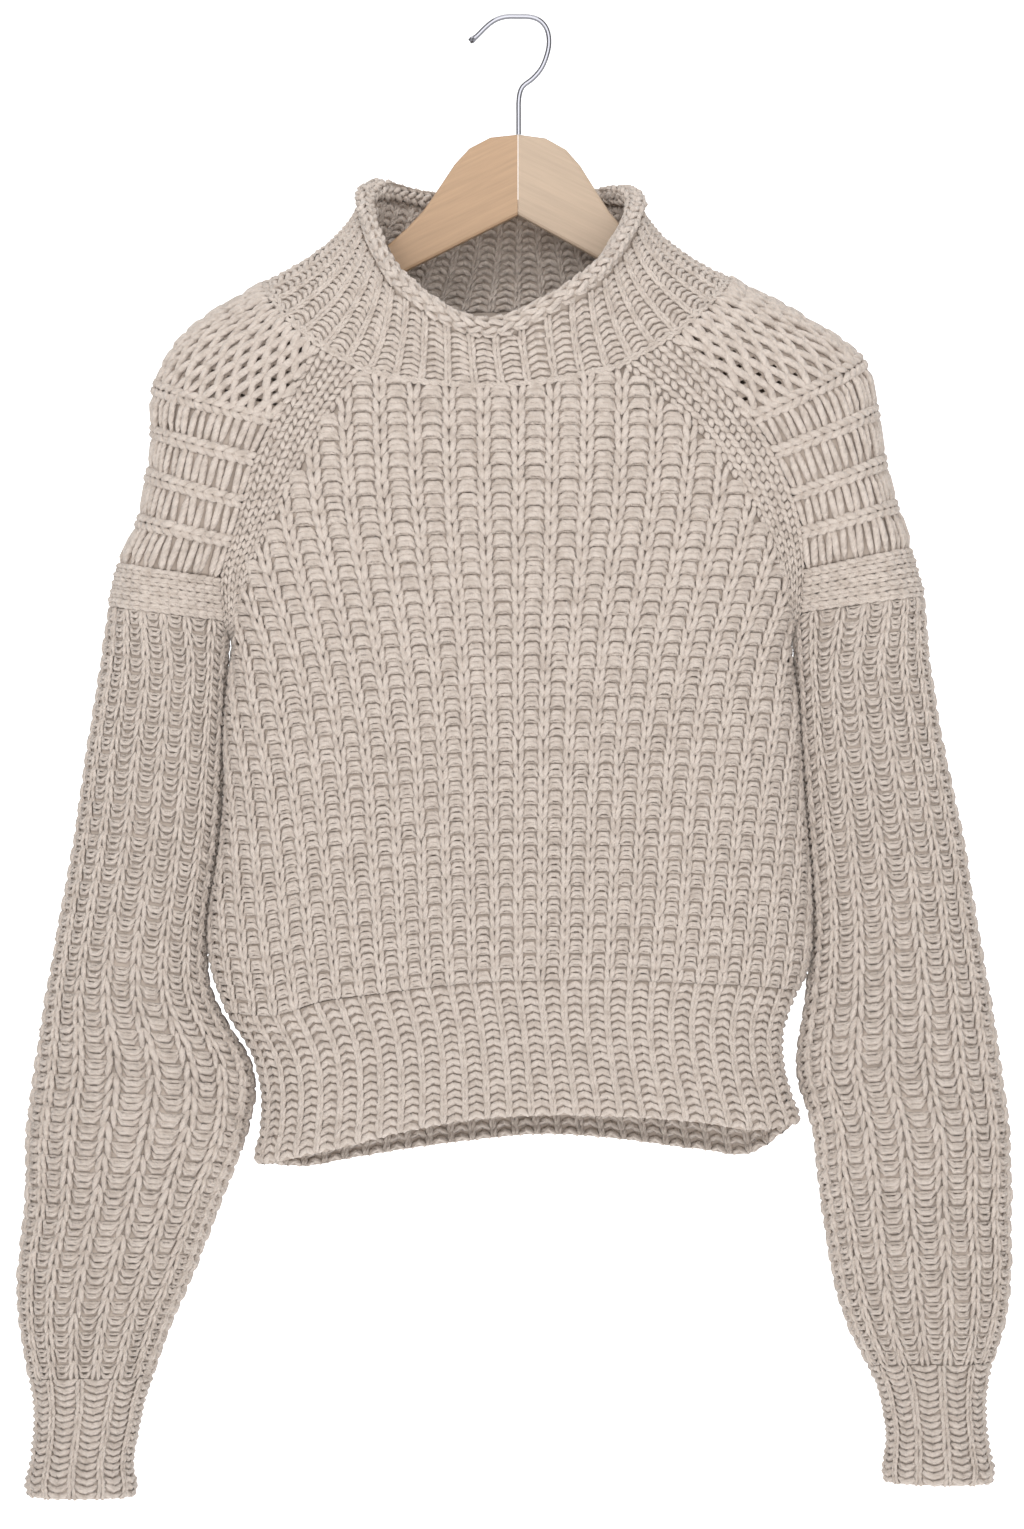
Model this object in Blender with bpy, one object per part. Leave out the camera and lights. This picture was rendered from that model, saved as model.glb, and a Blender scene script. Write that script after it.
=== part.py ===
"""Chunky ribbed pullover with a rolled funnel neck, hanging on a wooden clothes hanger.

The origin is the inner top of the hanger's hook. +Z is up, the front faces -Y,
and left and right are as seen from the front. Sizes are in millimetres and are
scaled to metres when a mesh is made. Every piece of cloth is a wall between a grid
of outer points, which carries the ribs and ridges, and a plain inner grid that
takes every second outer point.
"""
import math

import bmesh
import bpy
import numpy as np

# Driving sizes in millimetres
MM = 0.001
WALL = 4.5              # knitted cloth without its relief
SEAM_HALF_GAP = 0.22    # each side of a seam
FOLD_HALF_GAP = 0.4     # the same for the welts, which meet their bands in a deep fold
RIB_RISE = 1.8          # half-cardigan ribs of body and sleeves
FINE_RISE = 1.4         # ribs of hem, cuffs and collar
ROPE_RISE = 1.2         # ropes along the raglan bands
RIDGE_RISE = 1.8        # garter ridges of shoulders and welts
BODY_COLUMNS = 48       # two to each rib
BODY_ROWS = 10
NECK_FIRST = 16         # body columns between which the neck lies
NECK_LAST = 32
STRIP_COLUMNS = 2       # smooth strip along each side seam
HEM_ROWS = 4
BAND_ROWS = 16
BAND_COLUMNS = 10
YOKE_COLUMNS = 14
WELT_BOTTOM = 2         # band rows at the welt's lower and upper seams
WELT_TOP = 4
WELT_ROWS = 10
SLEEVE_TOP_COLUMNS = 28
UNDERARM_COLUMNS = 8
SLEEVE_ROWS = 16
UNDERARM_HALF_ANGLE = 30.0
UNDERARM_DROP = 0.9     # keeps the sleeve clear of the bands where they meet in a point
UNDERARM_SHIFT = 0.6
RELIEF_AT_SEAM = 0.5    # share of the relief that is left at the ends of ribs
BLEND_REACH = 4.0       # border points nearer than this share one direction of thickness
BLEND_LEAST = 0.3       # shorter sums of directions point nowhere and are left alone
SHARP_ANGLE = 50.0
CUFF_COLUMNS = 22
CUFF_ROWS = 6
COLLAR_BAND_COLUMNS = 4
SIDE_POWER = 2.4        # roundness of the body's side edges
SLEEVE_SETBACK = 3.0    # sleeve centres lie this far behind the hanger's plane
ARMPIT_Z = -385.0

# Side edges of the body, seen from the front
BODY_EDGES = np.array([
    # z, left x, right x
    (-618.0, -178.0, 166.0),
    (-602.0, -184.0, 172.0),
    (-587.0, -189.0, 179.0),
    (-560.0, -191.0, 181.0),
    (-528.0, -186.0, 180.0),
    (-484.0, -181.0, 176.0),
    (-435.0, -181.0, 173.0),
    (-385.0, -175.0, 167.0),
])
EDGE_SPREAD_ABOVE_ARMPIT = 0.25

# Rows of the body panels, as shares of the way from the hem seam to the top
BODY_STEPS = np.array([0, 0.05, 0.12, 0.21, 0.31, 0.42, 0.54, 0.66, 0.78, 0.89, 1.0])

# Side edges of the hem rib
HEM_EDGES = np.array([
    # share of the way up, left x, right x
    (0.00, -161.0, 173.0),
    (0.20, -158.0, 168.0),
    (0.45, -157.0, 163.0),
    (0.70, -162.0, 163.0),
    (1.00, -179.0, 172.0),
])

# Rows of the hem rib: share of the way up and bulge of the rolled edge
HEM_STEPS = np.array([
    (0.00, 0.3),
    (0.09, 1.8),
    (0.36, 0.0),
    (0.68, 0.0),
    (1.00, 0.0),
])

# Depth of the body in front of and behind the hanger's plane
BODY_DEPTHS = np.array([
    # z, front, back
    (-720.0, 51.0, 45.0),
    (-690.0, 50.0, 44.0),
    (-640.0, 45.0, 41.0),
    (-605.0, 43.5, 40.0),
    (-585.0, 47.0, 42.0),
    (-560.0, 49.5, 44.0),
    (-500.0, 47.0, 43.0),
    (-430.0, 46.0, 42.0),
    (-170.0, 46.0, 42.0),
])

# Lower edges and seam of the hem rib
HEM_LINES = np.array([
    # share of the half width, front edge z, back edge z, seam z
    (-1.00, -709.0, -709.0, -616.0),
    (-0.83, -703.0, -712.0, -617.0),
    (-0.68, -697.0, -708.0, -609.0),
    (-0.45, -687.0, -702.0, -603.0),
    (-0.22, -680.0, -697.0, -598.0),
    (0.05, -677.0, -693.0, -595.0),
    (0.35, -678.0, -696.0, -595.0),
    (0.65, -682.0, -702.0, -597.0),
    (0.85, -687.0, -703.0, -599.0),
    (1.00, -684.0, -684.0, -602.0),
])

# Raglan seams and shoulder line, from the armpit to the neck.
# The front and back inner edges lie on the body, the outer ones on shoulder and sleeve.
SHOULDER_COLUMNS = ("share", "front_in_x", "front_in_z", "front_out_x", "front_out_z",
                    "ridge_x", "ridge_z", "back_in_x", "back_in_z", "back_out_x", "back_out_z")
SHOULDERS = {
    "left": np.array([
        (0.000, -175, -385, -179, -385, -256, -390, -175, -385, -179, -385),
        (0.125, -170, -362, -182, -373, -252, -364, -170, -360, -182, -371),
        (0.250, -163, -340, -184, -347, -246, -338, -166, -334, -184, -345),
        (0.375, -154, -319, -177, -324, -234, -311, -157, -307, -179, -318),
        (0.500, -143, -298, -170, -300, -228, -282, -148, -280, -173, -289),
        (0.625, -133, -278, -162, -274, -225, -255, -138, -254, -166, -262),
        (0.750, -122, -258, -151, -250, -224, -228, -127, -228, -156, -236),
        (0.875, -109, -239, -137, -228, -201, -194, -116, -203, -145, -206),
        (1.000, -93, -222, -125, -205, -157, -167, -104, -178, -131, -174),
    ], dtype=float),
    "right": np.array([
        (0.000, 167, -385, 171, -385, 254, -386, 167, -385, 171, -385),
        (0.125, 165, -359, 175, -368, 250, -358, 166, -360, 175, -368),
        (0.250, 160, -335, 177, -342, 242, -329, 163, -335, 178, -345),
        (0.375, 149, -311, 175, -319, 233, -302, 155, -309, 175, -316),
        (0.500, 136, -290, 169, -296, 226, -274, 146, -282, 170, -288),
        (0.625, 121, -269, 157, -270, 221, -243, 133, -255, 159, -260),
        (0.750, 104, -250, 144, -249, 212, -212, 119, -229, 146, -233),
        (0.875, 84, -233, 122, -221, 174, -186, 98, -202, 128, -203),
        (1.000, 64, -218, 97, -199, 130, -164, 76, -175, 107, -172),
    ], dtype=float),
}

# Depth of the raglan's outer edges and extra fullness of the sleeve head beyond them
SHOULDER_DEPTHS = np.array([
    # share, outer edge depth, fullness
    (0.000, 0.0, 24.0),
    (0.125, 10.0, 22.0),
    (0.250, 16.0, 19.0),
    (0.375, 24.0, 14.0),
    (0.500, 31.0, 10.0),
    (0.625, 36.0, 7.0),
    (0.750, 40.0, 4.0),
    (0.875, 42.5, 1.0),
    (1.000, 44.0, 0.0),
])
BACK_DEPTH_SHARE = 0.93

# Sleeve sections from just under the armpit to the cuff seam
SLEEVES = {
    "left": np.array([
        # outer x, outer z, inner x, inner z, half depth
        (-257, -399, -181.5, -402, 28),
        (-266, -453, -183.6, -455, 29),
        (-274, -509, -186.6, -511, 30),
        (-283, -559, -193.4, -562, 31),
        (-291, -605, -191.5, -605, 32),
        (-298, -652, -166, -652, 33),
        (-303, -689, -170, -689, 33),
        (-304, -732, -186, -732, 32),
        (-309, -779, -203, -777, 30),
        (-308, -808, -216, -807, 29),
        (-302, -843, -228, -841, 26),
    ], dtype=float),
    "right": np.array([
        (254, -399, 173, -402, 28),
        (263, -453, 176.2, -455, 29),
        (275, -509, 180.6, -511, 30),
        (283, -559, 183.6, -562, 31),
        (291, -605, 180.5, -605, 32),
        (298, -652, 175, -652, 33),
        (303, -689, 185, -689, 33),
        (304, -732, 190, -732, 32),
        (304, -779, 197, -777, 30),
        (301, -807, 205, -807, 29),
        (293, -833, 218, -834, 26),
    ], dtype=float),
}

# Cuff sections from the seam to the rolled end, with the roll's bulge
CUFFS = {
    "left": np.array([
        # outer x, outer z, inner x, inner z, half depth, bulge
        (-302, -843, -228, -841, 26, 0.0),
        (-299, -858, -233, -857, 24, 0.0),
        (-299, -872, -236, -871, 23, 0.0),
        (-300, -886, -239, -886, 23, 0.0),
        (-301, -898, -241, -898, 23, 0.8),
        (-302, -909, -240, -909, 24, 2.6),
        (-301, -916, -241, -916, 23, 0.6),
    ], dtype=float),
    "right": np.array([
        (293, -833, 218, -834, 26, 0.0),
        (290, -848, 225, -848, 24, 0.0),
        (289, -862, 228, -862, 23, 0.0),
        (290, -876, 230, -876, 23, 0.0),
        (291, -889, 230, -889, 23, 0.8),
        (292, -901, 230, -900, 24, 2.6),
        (291, -908, 230, -907, 23, 0.6),
    ], dtype=float),
}

# Rim of the collar, by angle round the neck: left 0, front 90, right 180, back 270
COLLAR_RIM = np.array([
    # angle, x, z
    (0, -92, -106),
    (30, -87, -131),
    (60, -68, -164),
    (90, -19, -192),
    (120, 38, -163),
    (150, 62, -134),
    (180, 70, -110),
    (210, 60, -103),
    (240, 37, -105),
    (270, -8, -109),
    (300, -58, -104),
    (330, -82, -99),
    (360, -92, -106),
], dtype=float)
RIM_FRONT_DEPTH = 52.0
RIM_BACK_DEPTH = 46.0
NECK_FRONT_SAG = 10.0   # front neck seam's lowest point under its corners
NECK_BACK_SAG = 3.0
FLARE_WIDTH_SHARE = 0.20    # where the collar turns from its flare to its upright part
FLARE_HEIGHT_SHARE = 0.55
COLLAR_ROWS = np.array([
    # share of the way up, bulge of the rolled rim
    (0.00, 0.0),
    (0.12, 0.0),
    (0.26, 0.0),
    (0.40, 0.0),
    (0.54, 0.0),
    (0.68, 0.0),
    (0.79, 1.0),
    (0.87, 4.5),
    (0.93, 6.0),
    (0.98, 4.0),
    (1.00, 0.5),
])

# Hanger arm, drawn for the right half from the middle outwards
ARM_THICKNESS = 12.0
ARM_EDGE_ROUND = 2.0
ARM_ROUND_STEP = 0.3    # the rounding's middle edge, as a share of the rounding
ARM_TILT = 0.8          # degrees, the right arm hangs lower
ARM_TOP = np.array([
    # distance from the middle, z
    (0.15, -72), (17, -74), (30, -81), (39, -91), (48, -105), (58, -120), (68, -131), (79, -141),
    (107, -158), (134, -171.5), (168, -189), (190, -202), (199, -209), (203, -216), (199, -223),
], dtype=float)
ARM_BOTTOM = np.array([
    (190, -222), (168, -212), (134, -195), (98, -175), (65, -156), (0.15, -122),
], dtype=float)

# Hook of wire, from its seat on the wood to its free end
WIRE_RADIUS = 1.6
WIRE_SEAT_GAP = 0.3
HOOK_ROUTE = np.array([
    # x, z
    (0.4, -72), (0.4, -60), (0.6, -49), (2.8, -42), (9, -37), (14.5, -30.5), (18, -22),
    (19.3, -14), (18, -6.5), (14, -1.2), (8, 1.3), (0, 1.6), (-8, 1.4), (-14.5, -0.8),
    (-20, -5), (-25.5, -10.5), (-30, -14),
], dtype=float)
HOOK_STEPS = 3
HOOK_SIDES = 10
HOOK_BALL_RADII = (1.85, 2.3, 1.6)


def smooth(table, column, where):
    """Read one column of a table at the places given, along a smooth curve."""
    x = table[:, 0]
    y = table[:, column]
    slope = np.gradient(y, x)
    where = np.clip(np.asarray(where, dtype=float), x[0], x[-1])
    k = np.clip(np.searchsorted(x, where, side="right") - 1, 0, len(x) - 2)
    h = x[k + 1] - x[k]
    t = (where - x[k]) / h
    a = (1 + 2 * t) * (1 - t) ** 2
    b = t * (1 - t) ** 2 * h
    c = t * t * (3 - 2 * t)
    d = t * t * (t - 1) * h
    return a * y[k] + b * slope[k] + c * y[k + 1] + d * slope[k + 1]


def unit(vectors):
    length = np.linalg.norm(vectors, axis=-1, keepdims=True)
    return vectors / np.maximum(length, 1e-9)


def body_edges(z):
    """Left and right edges of the body at a height; they spread above the armpits."""
    rise = np.maximum(z - ARMPIT_Z, 0.0) * EDGE_SPREAD_ABOVE_ARMPIT
    return smooth(BODY_EDGES, 1, z) - rise, smooth(BODY_EDGES, 2, z) + rise


def body_depth(face, share, z):
    """Depth of the body's front or back at a share of its half width."""
    column = 1 if face == "front" else 2
    round_off = np.maximum(1 - np.abs(share) ** SIDE_POWER, 0.0) ** (1 / SIDE_POWER)
    sign = -1.0 if face == "front" else 1.0
    return sign * smooth(BODY_DEPTHS, column, z) * round_off


def on_body(face, x, z):
    """A point of the body's front or back surface."""
    left, right = body_edges(z)
    share = np.clip((2 * x - left - right) / (right - left), -1.0, 1.0)
    return np.stack([x, body_depth(face, share, z), z], axis=-1)


def raglan_inner(face, side, share):
    column = SHOULDER_COLUMNS.index(face + "_in_x")
    x = smooth(SHOULDERS[side], column, share)
    z = smooth(SHOULDERS[side], column + 1, share)
    return on_body(face, x, z)


def raglan_outer(face, side, share):
    column = SHOULDER_COLUMNS.index(face + "_out_x")
    x = smooth(SHOULDERS[side], column, share)
    z = smooth(SHOULDERS[side], column + 1, share)
    depth = smooth(SHOULDER_DEPTHS, 1, share)
    y = -depth if face == "front" else depth * BACK_DEPTH_SHARE
    return np.stack([x, y, z], axis=-1)


def neck_edge(face):
    """The neck seam of the front or back between its raglan corners, left to right."""
    left = raglan_inner(face, "left", np.array([1.0]))[0]
    right = raglan_inner(face, "right", np.array([1.0]))[0]
    sag = NECK_FRONT_SAG if face == "front" else NECK_BACK_SAG
    t = np.linspace(0.0, 1.0, NECK_LAST - NECK_FIRST + 1)
    x = left[0] + (right[0] - left[0]) * t
    z = left[2] + (right[2] - left[2]) * t - sag * (1 - (2 * t - 1) ** 2)
    return on_body(face, x, z)


def ribs(rows, columns, rise, first, last, fade_ends=True):
    """Relief that stands out on every odd column from first to last."""
    height = np.zeros((rows + 1, columns + 1))
    height[:, first:last + 1][:, (np.arange(first, last + 1) % 2) == 1] = rise
    if fade_ends:
        height[0] *= RELIEF_AT_SEAM
        height[-1] *= RELIEF_AT_SEAM
    return height


def body_panel(face):
    """Front or back: ribs run up from the hem seam and end at raglans and neck."""
    share = np.linspace(-1.0, 1.0, BODY_COLUMNS + 1)
    seam_z = smooth(HEM_LINES, 3, share)
    climb = np.linspace(0.0, 1.0, NECK_FIRST + 1)
    top = np.concatenate([
        raglan_inner(face, "left", climb),
        neck_edge(face)[1:-1],
        raglan_inner(face, "right", climb[::-1]),
    ])
    left, right = body_edges(top[:, 2])
    top_share = (2 * top[:, 0] - left - right) / (right - left)
    top_share[0] = -1.0
    top_share[-1] = 1.0
    points = []
    for step in BODY_STEPS:
        z = seam_z + (top[:, 2] - seam_z) * step
        s = share + (top_share - share) * step
        left, right = body_edges(z)
        x = (left + right) / 2 + s * (right - left) / 2
        points.append(np.stack([x, body_depth(face, s, z), z], axis=-1))
    points[-1] = top
    rise = ribs(BODY_ROWS, BODY_COLUMNS, RIB_RISE, STRIP_COLUMNS, BODY_COLUMNS - STRIP_COLUMNS)
    return np.array(points), rise


def hem_panel(face):
    """Hem rib: it continues the body's ribs down to a rounded edge."""
    share = np.linspace(-1.0, 1.0, BODY_COLUMNS + 1)
    seam_z = smooth(HEM_LINES, 3, share)
    edge_z = smooth(HEM_LINES, 1 if face == "front" else 2, share)
    points = []
    for step in HEM_STEPS[:, 0]:
        z = edge_z + (seam_z - edge_z) * step
        left = smooth(HEM_EDGES, 1, step)
        right = smooth(HEM_EDGES, 2, step)
        x = (left + right) / 2 + share * (right - left) / 2
        points.append(np.stack([x, body_depth(face, share, z), z], axis=-1))
    rise = ribs(HEM_ROWS, BODY_COLUMNS, FINE_RISE, STRIP_COLUMNS, BODY_COLUMNS - STRIP_COLUMNS)
    return np.array(points), rise + HEM_STEPS[:, 1][:, None]


def raglan_band(face, side):
    """Band of five ropes from the armpit up to the neck."""
    share = np.linspace(0.0, 1.0, BAND_ROWS + 1)
    inner = raglan_inner(face, side, share)
    outer = raglan_outer(face, side, share)
    across = np.linspace(0.0, 1.0, BAND_COLUMNS + 1)[None, :, None]
    points = inner[:, None, :] + (outer - inner)[:, None, :] * across
    width = np.linalg.norm(outer - inner, axis=1)
    fullness = np.clip(width / width[-1], 0.0, 1.0)
    rise = ribs(BAND_ROWS, BAND_COLUMNS, ROPE_RISE, 0, BAND_COLUMNS)
    return points, rise * fullness[:, None]


def shoulder_section(side, share, columns):
    """Arc over the shoulder from the front band to the back band."""
    front = raglan_outer("front", side, share)
    back = raglan_outer("back", side, share)
    ridge_x = smooth(SHOULDERS[side], SHOULDER_COLUMNS.index("ridge_x"), share)
    ridge_z = smooth(SHOULDERS[side], SHOULDER_COLUMNS.index("ridge_z"), share)
    fullness = float(smooth(SHOULDER_DEPTHS, 2, share))
    middle = (front + back) / 2
    ridge = np.array([ridge_x, middle[1], ridge_z])
    turn = np.linspace(0.0, math.pi, columns + 1)[:, None]
    arc = middle + (ridge - middle) * np.sin(turn) + (front - back) / 2 * np.cos(turn)
    arc[:, 1] -= (fullness * np.sin(2 * turn))[:, 0]
    return arc


def ridged(side, shares, first_ridge):
    """Stretch of shoulder with a garter ridge on every second row, flat at its seams."""
    points = np.array([shoulder_section(side, share, YOKE_COLUMNS) for share in shares])
    rise = np.zeros(points.shape[:2])
    rise[first_ridge:-1:2, 1:-1] = RIDGE_RISE
    return points, rise


def yoke(side):
    rows = BAND_ROWS - WELT_TOP
    return ridged(side, np.linspace(WELT_TOP / BAND_ROWS, 1.0, rows + 1), first_ridge=2)


def welt(side):
    shares = np.linspace(WELT_BOTTOM / BAND_ROWS, WELT_TOP / BAND_ROWS, WELT_ROWS + 1)
    return ridged(side, shares, first_ridge=1)


def sleeve_ring(outer_x, outer_z, inner_x, inner_z, half_depth, angles):
    """Oval section of a sleeve; angle 0 is its outer side and the front is negative."""
    middle_x = (outer_x + inner_x) / 2
    middle_z = (outer_z + inner_z) / 2
    x = middle_x + (outer_x - middle_x) * np.cos(angles)
    z = middle_z + (outer_z - middle_z) * np.cos(angles)
    y = SLEEVE_SETBACK + half_depth * np.sin(angles)
    return np.stack([x, y, z], axis=-1)


def underarm(side):
    """The sleeve's edge along the lower ends of both bands, from back to front."""
    half = UNDERARM_COLUMNS // 2
    share = np.linspace(WELT_BOTTOM / BAND_ROWS, 0.0, half + 1)
    back = raglan_outer("back", side, share)
    front = raglan_outer("front", side, share[::-1])
    edge = np.concatenate([back[1:], front[1:-1]])
    edge[:, 0] += UNDERARM_SHIFT * (-1 if side == "left" else 1)
    edge[:, 2] -= UNDERARM_DROP
    return edge


def sleeve(side):
    """Balloon sleeve, gathered into its cuff."""
    table = SLEEVES[side]
    top = shoulder_section(side, WELT_BOTTOM / BAND_ROWS, SLEEVE_TOP_COLUMNS)
    first = np.concatenate([top, underarm(side)])
    seam_angle = math.pi - math.radians(UNDERARM_HALF_ANGLE)
    over = np.linspace(-seam_angle, seam_angle, SLEEVE_TOP_COLUMNS + 1)
    under = np.linspace(seam_angle, 2 * math.pi - seam_angle, UNDERARM_COLUMNS + 1)[1:-1]
    angles = np.concatenate([over, under])
    indexed = np.column_stack([np.arange(len(table)), table])
    points = [first]
    for place in np.linspace(0.0, len(table) - 1, SLEEVE_ROWS):
        sizes = [float(smooth(indexed, column, place)) for column in range(1, 6)]
        points.append(sleeve_ring(*sizes, angles))
    columns = SLEEVE_TOP_COLUMNS + UNDERARM_COLUMNS
    rise = ribs(SLEEVE_ROWS, columns, RIB_RISE, 0, columns)[:, :-1]
    rise[0] = 0.0
    return np.array(points), rise


def cuff(side):
    """Cuff of fine ribs with a rolled end."""
    angles = np.linspace(0.0, 2 * math.pi, CUFF_COLUMNS, endpoint=False)
    points = np.array([sleeve_ring(*row[:5], angles) for row in CUFFS[side]])
    rise = ribs(CUFF_ROWS, CUFF_COLUMNS, FINE_RISE, 0, CUFF_COLUMNS)[:, :-1]
    return points, rise + CUFFS[side][:, 5][:, None]


def neck_ring():
    """The neck seam all round, with its angle for each point, from the left shoulder."""
    def band_end(face, side, from_outer):
        inner = raglan_inner(face, side, np.array([1.0]))[0]
        outer = raglan_outer(face, side, np.array([1.0]))[0]
        a, b = (outer, inner) if from_outer else (inner, outer)
        t = np.linspace(0.0, 1.0, COLLAR_BAND_COLUMNS + 1)[:, None]
        return a + (b - a) * t

    left = shoulder_section("left", 1.0, YOKE_COLUMNS)
    right = shoulder_section("right", 1.0, YOKE_COLUMNS)
    half = YOKE_COLUMNS // 2
    stretches = [
        left[half::-1],
        band_end("front", "left", True),
        neck_edge("front"),
        band_end("front", "right", False),
        right,
        band_end("back", "right", True),
        neck_edge("back")[::-1],
        band_end("back", "left", False),
        left[:half - 1:-1],
    ]
    ring = np.concatenate([s[:-1] for s in stretches])
    per_side = np.cumsum([0] + [len(s) - 1 for s in stretches])
    count = per_side[-1]
    front = (per_side[2] + per_side[3]) / 2
    right_ridge = per_side[4] + half
    back = (per_side[6] + per_side[7]) / 2
    angle = np.interp(np.arange(count), [0, front, right_ridge, back, count], [0, 90, 180, 270, 360])
    return ring, angle


def collar():
    """Funnel collar: flared at its seam, upright above it, rolled at the rim."""
    ring, angle = neck_ring()
    rim_x = smooth(COLLAR_RIM, 1, angle)
    rim_z = smooth(COLLAR_RIM, 2, angle)
    turn = np.sin(np.radians(angle))
    rim_y = -np.where(turn > 0, RIM_FRONT_DEPTH, RIM_BACK_DEPTH) * turn
    rim = np.stack([rim_x, rim_y, rim_z], axis=-1)
    bend_share = np.array([FLARE_WIDTH_SHARE, FLARE_WIDTH_SHARE, FLARE_HEIGHT_SHARE])
    bend = rim + (ring - rim) * bend_share
    v = COLLAR_ROWS[:, 0][:, None, None]
    points = (1 - v) ** 2 * ring + 2 * v * (1 - v) * bend + v ** 2 * rim
    rise = np.zeros(points.shape[:2])
    rise[:, 1::2] = FINE_RISE
    rise[0] *= RELIEF_AT_SEAM
    rise[-1] *= RELIEF_AT_SEAM
    return points, rise + COLLAR_ROWS[:, 1][:, None]


def grid_normals(points, ring):
    """Normals of a grid from its neighbours; a ring wraps along its columns."""
    along = np.gradient(points, axis=0)
    if ring:
        across = (np.roll(points, -1, axis=1) - np.roll(points, 1, axis=1)) / 2
    else:
        across = np.gradient(points, axis=1)
    return unit(np.cross(across, along))


class Piece:
    """A piece of cloth: smooth outer points, relief, and which way is out."""

    def __init__(self, name, shape, ring, outward, colour, gap=SEAM_HALF_GAP):
        self.name = name
        self.gap = gap
        self.points, self.rise = shape
        self.ring = ring
        self.colour = colour
        self.normals = grid_normals(self.points, ring)
        centre = np.array(outward, dtype=float)
        if np.sum(self.normals * (self.points - centre)) < 0:
            self.normals = -self.normals

    def border(self):
        """Index pairs of the border points."""
        rows, columns = self.points.shape[:2]
        pairs = [(r, c) for r in (0, rows - 1) for c in range(columns)]
        if not self.ring:
            pairs += [(r, c) for c in (0, columns - 1) for r in range(1, rows - 1)]
        return pairs


def blend_seams(pieces):
    """Give border points that meet across a seam one shared thickness direction."""
    owners, spots, normals = [], [], []
    for number, piece in enumerate(pieces):
        for r, c in piece.border():
            owners.append((number, r, c))
            spots.append(piece.points[r, c])
            normals.append(piece.normals[r, c])
    spots = np.array(spots)
    normals = np.array(normals)
    number = np.array([o[0] for o in owners])
    for k, (own, r, c) in enumerate(owners):
        distance = np.linalg.norm(spots - spots[k], axis=1)
        total = normals[k].copy()
        for other in range(len(pieces)):
            near = np.where((number == other) & (distance < BLEND_REACH))[0]
            if other != own and len(near):
                total += normals[near[np.argmin(distance[near])]]
        if np.linalg.norm(total) > BLEND_LEAST:
            pieces[own].normals[r, c] = unit(total)


def pull_in(points, piece):
    """Move border points off the seam by half of its gap, towards the piece's middle."""
    moved = points.copy()
    seam = piece.points
    moved[0] += piece.gap * unit(seam[1] - seam[0])
    moved[-1] += piece.gap * unit(seam[-2] - seam[-1])
    if not piece.ring:
        moved[:, 0] += piece.gap * unit(seam[:, 1] - seam[:, 0])
        moved[:, -1] += piece.gap * unit(seam[:, -2] - seam[:, -1])
    return moved


def wall_mesh(piece):
    """Closed wall between the relief side and a plain inner side with half the columns."""
    outer = pull_in(piece.points + piece.normals * piece.rise[:, :, None], piece)
    inner = pull_in(piece.points - piece.normals * WALL, piece)[::2, ::2]
    mesh = bmesh.new()
    front = [[mesh.verts.new(p * MM) for p in row] for row in outer]
    back = [[mesh.verts.new(p * MM) for p in row] for row in inner]

    def skin(grid):
        count = len(grid[0])
        last = count if piece.ring else count - 1
        for r in range(len(grid) - 1):
            for c in range(last):
                d = (c + 1) % count
                mesh.faces.new([grid[r][c], grid[r][d], grid[r + 1][d], grid[r + 1][c]])

    def edge(long_line, short_line):
        for k in range(len(short_line) - 1):
            a, b, c = long_line[2 * k:2 * k + 3]
            mesh.faces.new([a, b, short_line[k]])
            mesh.faces.new([b, c, short_line[k + 1]])
            mesh.faces.new([b, short_line[k + 1], short_line[k]])

    skin(front)
    skin(back)
    for r in (0, -1):
        long_line, short_line = front[r], back[r]
        if piece.ring:
            long_line = long_line + long_line[:1]
            short_line = short_line + short_line[:1]
        edge(long_line, short_line)
    if not piece.ring:
        for c in (0, -1):
            edge([row[c] for row in front], [row[c] for row in back])
    bmesh.ops.recalc_face_normals(mesh, faces=mesh.faces)
    return mesh


def material(name, colour, roughness, metallic=0.0):
    made = bpy.data.materials.new(name)
    made.use_nodes = True
    shader = made.node_tree.nodes["Principled BSDF"]
    shader.inputs["Base Color"].default_value = (*colour, 1.0)
    shader.inputs["Roughness"].default_value = roughness
    shader.inputs["Metallic"].default_value = metallic
    made.diffuse_color = (*colour, 1.0)
    return made


def add_object(name, mesh, finish):
    data = bpy.data.meshes.new(name)
    mesh.to_mesh(data)
    mesh.free()
    data.materials.append(finish)
    data.shade_smooth()
    data.set_sharp_from_angle(angle=math.radians(SHARP_ANGLE))
    made = bpy.data.objects.new(name, data)
    bpy.context.collection.objects.link(made)
    return made


def arm_outline(side):
    """Outline of one hanger arm, tilted about the top of the head."""
    outline = np.concatenate([ARM_TOP, ARM_BOTTOM])
    sign = -1.0 if side == "left" else 1.0
    x = outline[:, 0] * sign
    z = outline[:, 1]
    tilt = math.radians(ARM_TILT)
    pivot_z = ARM_TOP[0, 1]
    turned_x = x * math.cos(tilt) + (z - pivot_z) * math.sin(tilt)
    turned_z = pivot_z - x * math.sin(tilt) + (z - pivot_z) * math.cos(tilt)
    keep = np.abs(outline[:, 0]) < 1.0
    turned_x[keep] = x[keep]
    turned_z[keep] = z[keep]
    return np.stack([turned_x, turned_z], axis=-1)


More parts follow.
